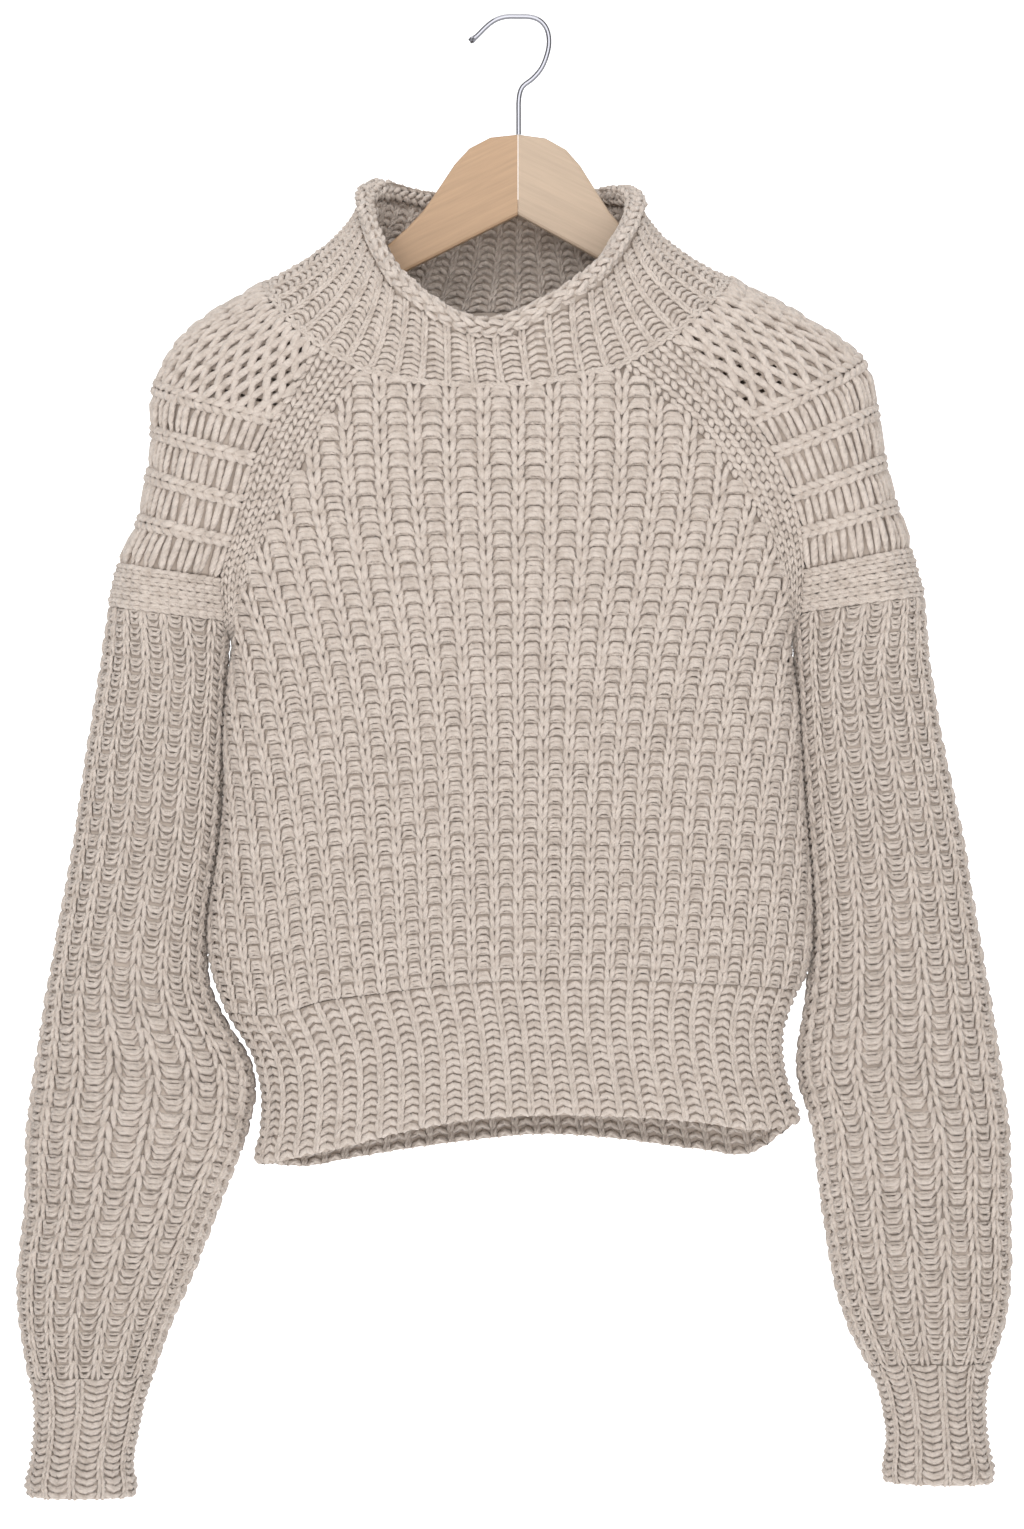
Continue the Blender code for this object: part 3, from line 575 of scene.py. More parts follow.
def shoulder_section(side, share, columns):
    """Arc over the shoulder from the front band to the back band."""
    front = raglan_outer("front", side, share)
    back = raglan_outer("back", side, share)
    ridge_x = smooth(SHOULDERS[side], SHOULDER_COLUMNS.index("ridge_x"), share)
    ridge_z = smooth(SHOULDERS[side], SHOULDER_COLUMNS.index("ridge_z"), share)
    fullness = float(smooth(SHOULDER_DEPTHS, 2, share))
    middle = (front + back) / 2
    ridge = np.array([ridge_x, middle[1], ridge_z])
    turn = np.linspace(0.0, math.pi, columns + 1)[:, None]
    arc = middle + (ridge - middle) * np.sin(turn) + (front - back) / 2 * np.cos(turn)
    arc[:, 1] -= (fullness * np.sin(2 * turn))[:, 0]
    return arc


def shoulder_grid(side, first, last, rows, columns):
    """Shoulder arcs between two shares of the raglan, with even steps along each arc."""
    grid = []
    for share in np.linspace(first, last, rows + 1):
        arc = shoulder_section(side, share, 4 * columns)
        length = np.concatenate([[0.0], np.cumsum(np.linalg.norm(np.diff(arc, axis=0), axis=1))])
        want = np.linspace(0.0, length[-1], columns + 1)
        grid.append(np.stack([np.interp(want, length, arc[:, i]) for i in range(3)], axis=-1))
    return np.array(grid)


def sleeve_ring(outer_x, outer_z, inner_x, inner_z, half_depth, angles):
    """Oval section of a sleeve; angle 0 is its outer side and the front is negative."""
    middle_x = (outer_x + inner_x) / 2
    middle_z = (outer_z + inner_z) / 2
    x = middle_x + (outer_x - middle_x) * np.cos(angles)
    z = middle_z + (outer_z - middle_z) * np.cos(angles)
    y = SLEEVE_SETBACK + half_depth * np.sin(angles)
    return np.stack([x, y, z], axis=-1)


def underarm(side, columns):
    """The sleeve's edge along the lower ends of both bands, from back to front."""
    share = np.linspace(WELT_BOTTOM / BAND_ROWS, 0.0, columns // 2 + 1)
    back = raglan_outer("back", side, share)
    front = raglan_outer("front", side, share[::-1])
    edge = np.concatenate([back[1:], front[1:-1]])
    edge[:, 0] += UNDERARM_SHIFT * (-1 if side == "left" else 1)
    edge[:, 2] -= UNDERARM_DROP
    return edge


def even_places(table, count):
    """Places along a table of sections that lie evenly along the sleeve."""
    middle = (table[:, 0:2] + table[:, 2:4]) / 2
    length = np.concatenate([[0.0], np.cumsum(np.linalg.norm(np.diff(middle, axis=0), axis=1))])
    return np.interp(np.linspace(0.0, length[-1], count), length, np.arange(len(table)))


def sleeve_grid(side, fine):
    """Sleeve rings from the welt seam to the cuff, two grid columns to a rib times fine."""
    table = SLEEVES[side]
    top_columns = 28 * fine
    under_columns = 8 * fine
    first = np.concatenate([
        shoulder_section(side, WELT_BOTTOM / BAND_ROWS, top_columns),
        underarm(side, under_columns),
    ])
    seam_angle = math.pi - math.radians(UNDERARM_HALF_ANGLE)
    over = np.linspace(-seam_angle, seam_angle, top_columns + 1)
    under = np.linspace(seam_angle, 2 * math.pi - seam_angle, under_columns + 1)[1:-1]
    angles = np.concatenate([over, under])
    indexed = np.column_stack([np.arange(len(table)), table])
    points = [first]
    for place in even_places(table, SLEEVE_ROWS):
        sizes = [float(smooth(indexed, column, place)) for column in range(1, 6)]
        points.append(sleeve_ring(*sizes, angles))
    return even_rows(np.array(points), SLEEVE_ROWS)


def even_rows(points, rows):
    """The same grid with its rows spread evenly along every column."""
    length = np.linalg.norm(np.diff(points, axis=0), axis=2)
    length = np.concatenate([np.zeros((1, points.shape[1])), np.cumsum(length, axis=0)])
    spread = np.empty((rows + 1, *points.shape[1:]))
    for c in range(points.shape[1]):
        want = np.linspace(0.0, length[-1, c], rows + 1)
        for i in range(3):
            spread[:, c, i] = np.interp(want, length[:, c], points[:, c, i])
    return spread


def cuff_grid(side, columns):
    """Cuff rings and the bulge of the roll on each."""
    table = CUFFS[side]
    angles = np.linspace(0.0, 2 * math.pi, columns, endpoint=False)
    indexed = np.column_stack([np.arange(len(table)), table])
    points, bulges = [], []
    for place in even_places(table, CUFF_ROWS + 1):
        sizes = [float(smooth(indexed, column, place)) for column in range(1, 6)]
        points.append(sleeve_ring(*sizes, angles))
        bulges.append(float(smooth(indexed, 6, place)))
    return np.array(points), np.array(bulges)


def neck_ring():
    """The neck seam all round, with its angle for each point, from the left shoulder."""
    def band_end(face, side, from_outer):
        inner = raglan_inner(face, side, np.array([1.0]))[0]
        outer = raglan_outer(face, side, np.array([1.0]))[0]
        a, b = (outer, inner) if from_outer else (inner, outer)
        t = np.linspace(0.0, 1.0, COLLAR_BAND_COLUMNS + 1)[:, None]
        return a + (b - a) * t

    left = shoulder_section("left", 1.0, YOKE_COLUMNS)
    right = shoulder_section("right", 1.0, YOKE_COLUMNS)
    half = YOKE_COLUMNS // 2
    neck_columns = NECK_LAST - NECK_FIRST
    stretches = [
        left[half::-1],
        band_end("front", "left", True),
        neck_edge("front", neck_columns),
        band_end("front", "right", False),
        right,
        band_end("back", "right", True),
        neck_edge("back", neck_columns)[::-1],
        band_end("back", "left", False),
        left[:half - 1:-1],
    ]
    ring = np.concatenate([s[:-1] for s in stretches])
    per_side = np.cumsum([0] + [len(s) - 1 for s in stretches])
    count = per_side[-1]
    front = (per_side[2] + per_side[3]) / 2
    right_ridge = per_side[4] + half
    back = (per_side[6] + per_side[7]) / 2
    angle = np.interp(np.arange(count), [0, front, right_ridge, back, count], [0, 90, 180, 270, 360])
    return ring, angle


def collar_grid():
    """Funnel collar without its roll: flared at its seam and upright above it."""
    ring, angle = neck_ring()
    rim_x = smooth(COLLAR_RIM, 1, angle)
    rim_z = smooth(COLLAR_RIM, 2, angle)
    turn = np.sin(np.radians(angle))
    rim_y = -np.where(turn > 0, RIM_FRONT_DEPTH, RIM_BACK_DEPTH) * turn
    rim = np.stack([rim_x, rim_y, rim_z], axis=-1)
    bend_share = np.array([FLARE_WIDTH_SHARE, FLARE_WIDTH_SHARE, FLARE_HEIGHT_SHARE])
    bend = rim + (ring - rim) * bend_share
    v = np.linspace(0.0, 1.0, COLLAR_STEPS + 1)[:, None, None]
    points = (1 - v) ** 2 * ring + 2 * v * (1 - v) * bend + v ** 2 * rim
    closed = np.concatenate([points, points[:, :1]], axis=1)
    length = np.linalg.norm(np.diff(closed[0], axis=0), axis=1)
    length = np.concatenate([[0.0], np.cumsum(length)])
    want = np.linspace(0.0, length[-1], 2 * COLLAR_RIBS + 1)[:-1]
    place = np.interp(want, length, np.arange(len(length)))
    low = np.floor(place).astype(int)
    share = (place - low)[None, :, None]
    return closed[:, low] * (1 - share) + closed[:, low + 1] * share


class Surface:
    """A grid of points with outward normals, on which walls and strands are laid."""

    def __init__(self, points, outward, ring=False, lift=None):
        along = np.gradient(points, axis=0)
        if ring:
            across = (np.roll(points, -1, axis=1) - np.roll(points, 1, axis=1)) / 2
        else:
            across = np.gradient(points, axis=1)
        normals = unit(np.cross(across, along))
        if np.sum(normals * (points - np.array(outward, dtype=float))) < 0:
            normals = -normals
        points = points + normals * fold_height(points, normals)[..., None]
        if lift is not None:
            points = points + normals * lift
        self.points = points
        self.normals = normals
        self.ring = ring
        self.rows = len(points) - 1
        self.columns = points.shape[1] if ring else points.shape[1] - 1

    def place(self, u, v, w):
        """Points at column u and row v, w millimetres off the grid, and their normals."""
        v = np.clip(v, 0.0, self.rows - 1e-6)
        low = np.floor(v).astype(int)
        fv = (v - low)[..., None]
        if self.ring:
            left = np.floor(u).astype(int)
            fu = (u - left)[..., None]
            left = left % self.columns
            right = (left + 1) % self.columns
        else:
            u = np.clip(u, 0.0, self.columns - 1e-6)
            left = np.floor(u).astype(int)
            fu = (u - left)[..., None]
            right = left + 1

        def mix(grid):
            lower = grid[low, left] * (1 - fu) + grid[low, right] * fu
            upper = grid[low + 1, left] * (1 - fu) + grid[low + 1, right] * fu
            return lower * (1 - fv) + upper * fv

        normals = unit(mix(self.normals))
        return mix(self.points) + normals * np.asarray(w)[..., None], normals

    def size(self):
        """Greatest width, greatest length and area in metres."""
        p = self.points
        if self.ring:
            p = np.concatenate([p, p[:, :1]], axis=1)
        across = np.linalg.norm(np.diff(p, axis=1), axis=2)
        along = np.linalg.norm(np.diff(p, axis=0), axis=2)
        a = p[1:, 1:] - p[:-1, :-1]
        b = p[1:, :-1] - p[:-1, 1:]
        area = np.linalg.norm(np.cross(a, b), axis=2).sum() / 2
        return across.sum(axis=1).max() * MM, along.sum(axis=0).max() * MM, area * MM * MM


class Yarn:
    """Gathers strands and turns them into one mesh of tapered tubes."""

    def __init__(self, seed, size, sides=YARN_SIDES):
        self.random = np.random.default_rng(seed)
        self.size = size
        self.sides = sides
        self.batches = []

    def strands(self, points, normals, radius):
        """Strands given as (count, points, 3) with normals and a radius for each point."""
        if len(points):
            self.batches.append((points, normals, np.broadcast_to(radius, points.shape[:2])))

    def lay(self, surface, u, v, width, height, shape, scale=1.0, inside=False, keep=None,
            mirror=False, loose=0.22):
        """Lay one shape of strand in every cell; u, v are the cells' lower left corners."""
        u, v = (np.asarray(x, dtype=float).ravel() for x in (u, v))
        width, height, scale = (np.broadcast_to(x, u.shape) for x in (width, height, scale))
        across = -shape[:, 0] if mirror else shape[:, 0]
        wander = self.random.normal(0.0, loose, (3, len(u), 1))
        pu = u[:, None] + width[:, None] * (across + wander[0] * 0.06)
        pv = v[:, None] + height[:, None] * (shape[:, 1] + wander[1] * 0.14)
        pw = (shape[:, 2] + wander[2]) * scale[:, None]
        if inside:
            pw = WALL_BOTTOM + WALL_TOP * 0.2 - pw
        points, normals = surface.place(pu, pv, pw)
        radius = shape[:, 3] * scale[:, None] * self.size
        radius = radius * (1 + self.random.normal(0.0, 0.05, (len(u), 1)))
        if keep is not None:
            middle = points.mean(axis=1)
            chosen = keep(middle)
            points, normals, radius = points[chosen], normals[chosen], radius[chosen]
        self.strands(points, normals, radius)

    def mesh(self, name):
        """All strands as one mesh with a map for baking and one along the yarn."""
        sides = self.sides
        turn = 2 * math.pi * np.arange(sides) / sides + math.pi / 2
        vertices, faces, yarn_uv, tile_uv = [], [], [], []
        total = sum(len(b[0]) for b in self.batches)
        grid = max(1, math.ceil(math.sqrt(total)))
        start, strand = 0, 0
        for points, normals, radius in self.batches:
            count, steps = points.shape[:2]
            along = unit(np.gradient(points, axis=1))
            side = unit(np.cross(along, normals))
            up = np.cross(side, along)
            ring = (points[:, :, None] + radius[:, :, None, None] * (
                side[:, :, None] * np.cos(turn)[:, None] + up[:, :, None] * np.sin(turn)[:, None]))
            vertices.append(ring.reshape(-1, 3))
            base = start + np.arange(count)[:, None, None] * steps * sides
            a = np.arange(steps - 1)[None, :, None] * sides
            s = np.arange(sides)[None, None, :]
            n = (s + 1) % sides
            quads = np.stack([base + a + s, base + a + n, base + a + sides + n, base + a + sides + s],
                             axis=-1)
            faces.append(quads.reshape(-1, 4))
            length = np.concatenate([
                np.zeros((count, 1)),
                np.cumsum(np.linalg.norm(np.diff(points, axis=1), axis=2), axis=1),
            ], axis=1)
            length += self.random.uniform(0.0, 400.0, (count, 1))
            around = np.arange(sides + 1) / sides
            lower = np.broadcast_to(length[:, :-1, None], (count, steps - 1, sides))
            upper = np.broadcast_to(length[:, 1:, None], (count, steps - 1, sides))
            left = np.broadcast_to(around[:-1], lower.shape)
            right = np.broadcast_to(around[1:], lower.shape)
            yarn_uv.append(np.stack([left, lower, right, lower, right, upper, left, upper],
                                    axis=-1).reshape(-1, 2))
            number = strand + np.arange(count)
            column = (number % grid)[:, None, None]
            row = (number // grid)[:, None, None]
            low = (np.arange(steps - 1) / (steps - 1))[None, :, None]
            high = low + 1.0 / (steps - 1)
            low = np.broadcast_to(0.04 + 0.92 * low, lower.shape)
            high = np.broadcast_to(0.04 + 0.92 * high, lower.shape)
            left = 0.04 + 0.92 * left
            right = 0.04 + 0.92 * right
            tile_uv.append(np.stack([
                (column + left) / grid, (row + low) / grid, (column + right) / grid, (row + low) / grid,
                (column + right) / grid, (row + high) / grid, (column + left) / grid,
                (row + high) / grid], axis=-1).reshape(-1, 2))
            start += count * steps * sides
            strand += count
        return make_mesh(name, np.concatenate(vertices), np.concatenate(faces),
                         {"OFBake": np.concatenate(tile_uv), "Yarn": np.concatenate(yarn_uv) * (1, 0.2)})


def make_mesh(name, vertices, faces, maps=()):
    """A mesh of quads from arrays; vertices are in millimetres."""
    data = bpy.data.meshes.new(name)
    data.vertices.add(len(vertices))
    data.vertices.foreach_set("co", (vertices * MM).astype(np.float32).ravel())
    data.loops.add(faces.size)
    data.loops.foreach_set("vertex_index", faces.astype(np.int32).ravel())
    data.polygons.add(len(faces))
    data.polygons.foreach_set("loop_start", np.arange(0, faces.size, 4, dtype=np.int32))
    data.update(calc_edges=True)
    data.validate()
    for label in maps:
        layer = data.uv_layers.new(name=label)
        layer.data.foreach_set("uv", maps[label].astype(np.float32).ravel())
    data.shade_smooth()
    return data


def wall(name, surface, outer=WALL_TOP, inner=WALL_BOTTOM, open_cells=None):
    """A closed thin wall along a surface; open_cells marks faces that are left out."""
    rows, columns = surface.points.shape[:2]
    top = surface.points + surface.normals * outer
    bottom = surface.points + surface.normals * inner
    vertices = np.concatenate([top.reshape(-1, 3), bottom.reshape(-1, 3)])
    count = rows * columns
    last = columns if surface.ring else columns - 1
    r, c = np.meshgrid(np.arange(rows - 1), np.arange(last), indexing="ij")
    d = (c + 1) % columns
    present = np.ones(r.shape, dtype=bool) if open_cells is None else ~open_cells
    corners = np.stack([r * columns + c, r * columns + d, (r + 1) * columns + d, (r + 1) * columns + c],
                       axis=-1)
    kept = corners[present]
    faces = [kept, kept[:, ::-1] + count]
    padded = np.pad(present, 1, constant_values=False)
    if surface.ring:
        padded[:, 0] = padded[:, -2]
        padded[:, -1] = padded[:, 1]
    neighbours = [
        (padded[:-2, 1:-1], (0, 1)), (padded[1:-1, 2:], (1, 2)),
        (padded[2:, 1:-1], (2, 3)), (padded[1:-1, :-2], (3, 0)),
    ]
    for beside, (a, b) in neighbours:
        rim = corners[present & ~beside]
        faces.append(np.stack([rim[:, b], rim[:, a], rim[:, a] + count, rim[:, b] + count], axis=-1))
    return make_mesh(name, vertices, np.concatenate(faces))


def add(name, data, finish):
    """An object for a mesh that rides on the body of the part."""
    made = bpy.data.objects.new(name, data)
    bpy.context.scene.collection.objects.link(made)
    data.materials.append(finish)
    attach(made, "root")
    return made


def cloth(node, surface, yarn, settings, flat, open_cells=None, wall_surface=None):
    """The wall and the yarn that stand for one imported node."""
    finishes = knit_finishes(settings)
    shape = wall_surface or surface
    base = add(node + "_cloth", wall(node + "_cloth", shape, open_cells=open_cells), finishes[1])
    stitches = add(node + "_yarn", yarn.mesh(node + "_yarn"), finishes[0])
    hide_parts(node)
    width, length, area = shape.size()
    if flat:
        width, length = flat
    return base, stitches


def colour_socket(settings_colour):
    return (*settings_colour[:3], 1.0)


def knit_finishes(settings):
    """Finish of the yarn and of the cloth under it, made once; the cloth under it is coloured darker than
    the yarn as painted shade between the stitches.
    """
    yarn = bpy.data.materials.get("wool yarn")
    under = bpy.data.materials.get("wool in shadow")
    if yarn and under:
        return yarn, under
    yarn = bpy.data.materials.new("wool yarn")
    yarn.use_nodes = True
    nodes = yarn.node_tree.nodes
    links = yarn.node_tree.links
    shader = nodes["Principled BSDF"]
    shader.inputs["Roughness"].default_value = 0.95
    shader.inputs["Specular IOR Level"].default_value = 0.15
    shader.inputs["Sheen Weight"].default_value = settings.sheen
    shader.inputs["Sheen Roughness"].default_value = 0.6
    along = nodes.new("ShaderNodeUVMap")
    along.uv_map = "Yarn"
    parts = nodes.new("ShaderNodeSeparateXYZ")
    links.new(along.outputs["UV"], parts.inputs[0])
    around_twice = nodes.new("ShaderNodeMath")
    around_twice.operation = "MULTIPLY_ADD"
    around_twice.inputs[1].default_value = 2.0
    links.new(parts.outputs["X"], around_twice.inputs[0])
    links.new(parts.outputs["Y"], around_twice.inputs[2])
    turns = nodes.new("ShaderNodeMath")
    turns.operation = "MULTIPLY"
    turns.inputs[1].default_value = 2 * math.pi
    links.new(around_twice.outputs[0], turns.inputs[0])
    twist = nodes.new("ShaderNodeMath")
    twist.operation = "SINE"
    links.new(turns.outputs[0], twist.inputs[0])
    place = nodes.new("ShaderNodeTexCoord")
    fibres = nodes.new("ShaderNodeTexNoise")
    fibres.inputs["Scale"].default_value = 1100.0
    fibres.inputs["Detail"].default_value = 3.0
    links.new(place.outputs["Object"], fibres.inputs["Vector"])
    height = nodes.new("ShaderNodeMath")
    height.operation = "MULTIPLY_ADD"
    height.inputs[1].default_value = 0.35
    links.new(twist.outputs[0], height.inputs[0])
    links.new(fibres.outputs["Fac"], height.inputs[2])
    bump = nodes.new("ShaderNodeBump")
    bump.inputs["Strength"].default_value = 0.8
    bump.inputs["Distance"].default_value = 0.0011
    links.new(height.outputs[0], bump.inputs["Height"])
    links.new(bump.outputs[0], shader.inputs["Normal"])
    mottle = nodes.new("ShaderNodeTexNoise")
    mottle.inputs["Scale"].default_value = 160.0
    mottle.inputs["Detail"].default_value = 4.0
    links.new(place.outputs["Object"], mottle.inputs["Vector"])
    blend = nodes.new("ShaderNodeMix")
    blend.data_type = "RGBA"
    blend.inputs[6].default_value = colour_socket(settings.fibre_and_painted_shade_colour)
    blend.inputs[7].default_value = colour_socket(settings.yarn_colour)
    sharpen = nodes.new("ShaderNodeMapRange")
    sharpen.inputs["From Min"].default_value = 0.3
    sharpen.inputs["From Max"].default_value = 0.6
    links.new(mottle.outputs["Fac"], sharpen.inputs["Value"])
    links.new(sharpen.outputs[0], blend.inputs[0])
    links.new(blend.outputs[2], shader.inputs["Base Color"])

    under = bpy.data.materials.new("wool in shadow")
    under.use_nodes = True
    nodes = under.node_tree.nodes
    links = under.node_tree.links
    shader = nodes["Principled BSDF"]
    shader.inputs["Roughness"].default_value = 1.0
    shader.inputs["Specular IOR Level"].default_value = 0.05
    place = nodes.new("ShaderNodeTexCoord")
    weave = nodes.new("ShaderNodeTexNoise")
    weave.inputs["Scale"].default_value = 420.0
    weave.inputs["Detail"].default_value = 2.0
    links.new(place.outputs["Object"], weave.inputs["Vector"])
    # Painted shade: the cloth under the yarn takes the darker fibre colour at 0.8 to 1.0 of its strength,
    # well below the yarn's colour, for the shade that falls between the stitches; the noise only varies it
    # at random.
    blend = nodes.new("ShaderNodeMix")
    blend.data_type = "RGBA"
    blend.inputs[6].default_value = colour_socket([c * 0.8 for c in settings.fibre_and_painted_shade_colour])
    blend.inputs[7].default_value = colour_socket([c * 1.0 for c in settings.fibre_and_painted_shade_colour])
    links.new(weave.outputs["Fac"], blend.inputs[0])
    links.new(blend.outputs[2], shader.inputs["Base Color"])
    return yarn, under


def cells(columns, rows):
    """Lower left corners of every cell, as two flat arrays."""
    u, v = np.meshgrid(np.asarray(columns, dtype=float), np.asarray(rows, dtype=float))
    return u.ravel(), v.ravel()


def inside_panel(face):
    """Test for points of the front or back that lie between raglans and under the neck."""
    edges = {}
    share = np.linspace(0.0, 1.0, 80)
    for side in ("left", "right"):
        line = raglan_inner(face, side, share)
        edges[side] = line[np.argsort(line[:, 2])]
    neck = neck_edge(face, 60)

    def keep(points):
        x, z = points[:, 0], points[:, 2]
        left = np.interp(z, edges["left"][:, 2], edges["left"][:, 0])
        right = np.interp(z, edges["right"][:, 2], edges["right"][:, 0])
        under = z < np.interp(x, neck[:, 0], neck[:, 2]) + EDGE_MARGIN
        between = (x > left - EDGE_MARGIN) & (x < right + EDGE_MARGIN)
        return under & ((z < ARMPIT_Z) | between)
    return keep


class Cells:
    """Cells of ribs and rows on a surface, with the way from them to grid coordinates."""

    def __init__(self, surface, ribs, rows, to_u, to_v, scale=1.0, within=None):
        self.surface = surface
        self.u, self.v = cells(ribs, rows)
        self.to_u, self.to_v = to_u, to_v
        self.width = to_u(1.0) - to_u(0.0)
        self.height = to_v(1.0) - to_v(0.0)
        self.scale = scale(self.v) if callable(scale) else np.full(self.u.shape, scale)
        self.within = within

    def lay(self, yarn, shape, shift=0.0, **more):
        """Lay a strand in every cell, or in those whose middle lies within the limits."""
        u, v, scale = self.u + shift, self.v, self.scale
        if self.within is not None:
            sign = -1.0 if more.get("mirror") else 1.0
            chosen = self.within(u + sign * shape[:, 0].mean(), v)
            u, v, scale = u[chosen], v[chosen], scale[chosen]
        yarn.lay(self.surface, self.to_u(u), self.to_v(v), self.width, self.height, shape,
                 scale=scale, **more)


def half_cardigan(yarn, laid, bars=3, **more):
    """Half cardigan: to each rib a column of knit legs and a column of puffy bars."""
    for mirror in (False, True):
        laid.lay(yarn, KNIT_LEG, mirror=mirror, **more)
    for bar in PURL_BARS[:bars]:
        laid.lay(yarn, bar, **more)


def fine_rib(yarn, laid, **more):
    """Fine ribs: a narrow line of legs and a wide column of zigzag strands."""
    for mirror in (False, True):
        laid.lay(yarn, FINE_LEG, mirror=mirror, **more)
        laid.lay(yarn, FINE_CHEVRON, shift=1.0 if mirror else 0.0, mirror=mirror, **more)


def body_panel(face, settings):
    """Front or back of the body."""
    rows, sides = body_rows(face)
    middle = (-4, 0, -430)
    surface = Surface(rows, middle)
    yarn = Yarn(settings.seed + (1 if face == "front" else 2), settings.yarn_size,
                YARN_SIDES if face == "front" else COARSE_SIDES)
    row_number = np.arange(len(sides))

    def to_u(rib):
        return (np.asarray(rib, dtype=float) + RIB_REACH) * RIB_STEPS

    def scale(v):
        return np.clip(np.interp(v, row_number, sides[:, 2]) / 16.7, 0.88, 1.14)

    def side_edges(v):
        spacing = np.interp(v, row_number, sides[:, 2])
        strip = SIDE_STRIP / spacing
        left = np.interp(v, row_number, sides[:, 0])
        right = np.interp(v, row_number, sides[:, 1])
        return left, right, strip

    def within(rib, v):
        left, right, strip = side_edges(v)
        return (rib > left + strip) & (rib < right - strip)

    inside = inside_panel(face)

    def below_armpits(points):
        return inside(points) & (points[:, 2] < ARMPIT_Z + SIDE_STRIP_REACH)

    laid = Cells(surface, np.arange(-RIB_REACH, RIB_REACH), np.arange(surface.rows), to_u,
                 lambda v: np.asarray(v, dtype=float), scale, within)
    half_cardigan(yarn, laid, keep=inside)
    # Smooth strips along the side seams, two columns of knit legs each
    v = np.arange(0.0, surface.rows, SIDE_STITCH)
    left, right, strip = side_edges(v)
    for seam, sign in ((left, 1.0), (right, -1.0)):
        for column in (0.25, 0.75):
            u = to_u(seam + sign * strip * column)
            for mirror in (False, True):
                yarn.lay(surface, u, v, RIB_STEPS * 0.72, SIDE_STITCH, KNIT_LEG, scale=0.85,
                         keep=below_armpits, mirror=mirror)
    wall_surface = Surface(panel_grid(face, PANEL_FINE), middle)
    cloth(face, surface, yarn, settings, PANEL_FLAT[face], wall_surface=wall_surface)


def hem_panel(face, settings):
    """Ribbed hem of the front or back, its edge rolled; the back's shows inside too."""
    rows, first, last = hem_rows(face)
    step = np.linspace(0.0, 1.0, len(rows))
    bulge = np.interp(step, HEM_BULGE[:, 0], HEM_BULGE[:, 1])
    surface = Surface(rows, (0, 0, -650), lift=bulge[:, None, None])
    yarn = Yarn(settings.seed + (3 if face == "front" else 4), settings.yarn_size,
                YARN_SIDES if face == "front" else COARSE_SIDES)

    def to_u(rib):
        return (np.asarray(rib, dtype=float) - first) / (last - first) * surface.columns

    def within(rib, v):
        return (rib > first) & (rib < last)
    ribs = np.arange(math.floor(first), math.ceil(last) + 1)
    fine_rib(yarn, Cells(surface, ribs, np.arange(surface.rows), to_u,
                         lambda v: np.asarray(v, dtype=float), within=within))
    if face == "back":
        fine_rib(yarn, Cells(surface, ribs, np.arange(HEM_INSIDE_ROWS), to_u,
                             lambda v: np.asarray(v, dtype=float), within=within), inside=True)
    cloth("hem_rib_" + face, surface, yarn, settings, None)


def raglan_band(face, side, settings):
    """Band of slanting stitches between body and shoulder."""
    middle = (110 * (-1 if side == "left" else 1), 0, -310)
    surface = Surface(band_grid(face, side, BAND_STITCHES, BAND_ROPES), middle)
    yarn = Yarn(settings.seed + 5, settings.yarn_size)
    width = np.linalg.norm(surface.points[:, -1] - surface.points[:, 0], axis=1) / BAND_ROPES
    for mirror in (False, True):
        ropes = np.arange(1 if mirror else 0, BAND_ROPES, 2)
        u, v = cells(ropes, np.arange(BAND_STITCHES))
        scale = np.clip(np.interp(v + 0.5, np.arange(len(width)), width) / 4.4, 0.35, 1.0)
        yarn.lay(surface, u + (1.0 if mirror else 0.0), v, 1.0, 1.0, BAND_STRAND, scale=scale,
                 mirror=mirror)
    cloth("raglan_band_" + face + "_" + side, surface, yarn, settings, None)


def ridge(yarn, surface, v, loops, height, rise, thick, slant):
    """A line of short slanting loops right across a surface."""
    width = surface.columns / loops
    strand = np.array([
        (-0.25, -slant * 0.6, -0.4, thick * 0.65),
        (0.25, -slant * 0.3, rise, thick),
        (0.75, slant * 0.3, rise, thick),
        (1.25, slant * 0.6, -0.4, thick * 0.65),
    ])
    yarn.lay(surface, np.arange(loops) * width, np.full(loops, v), width, height, strand)


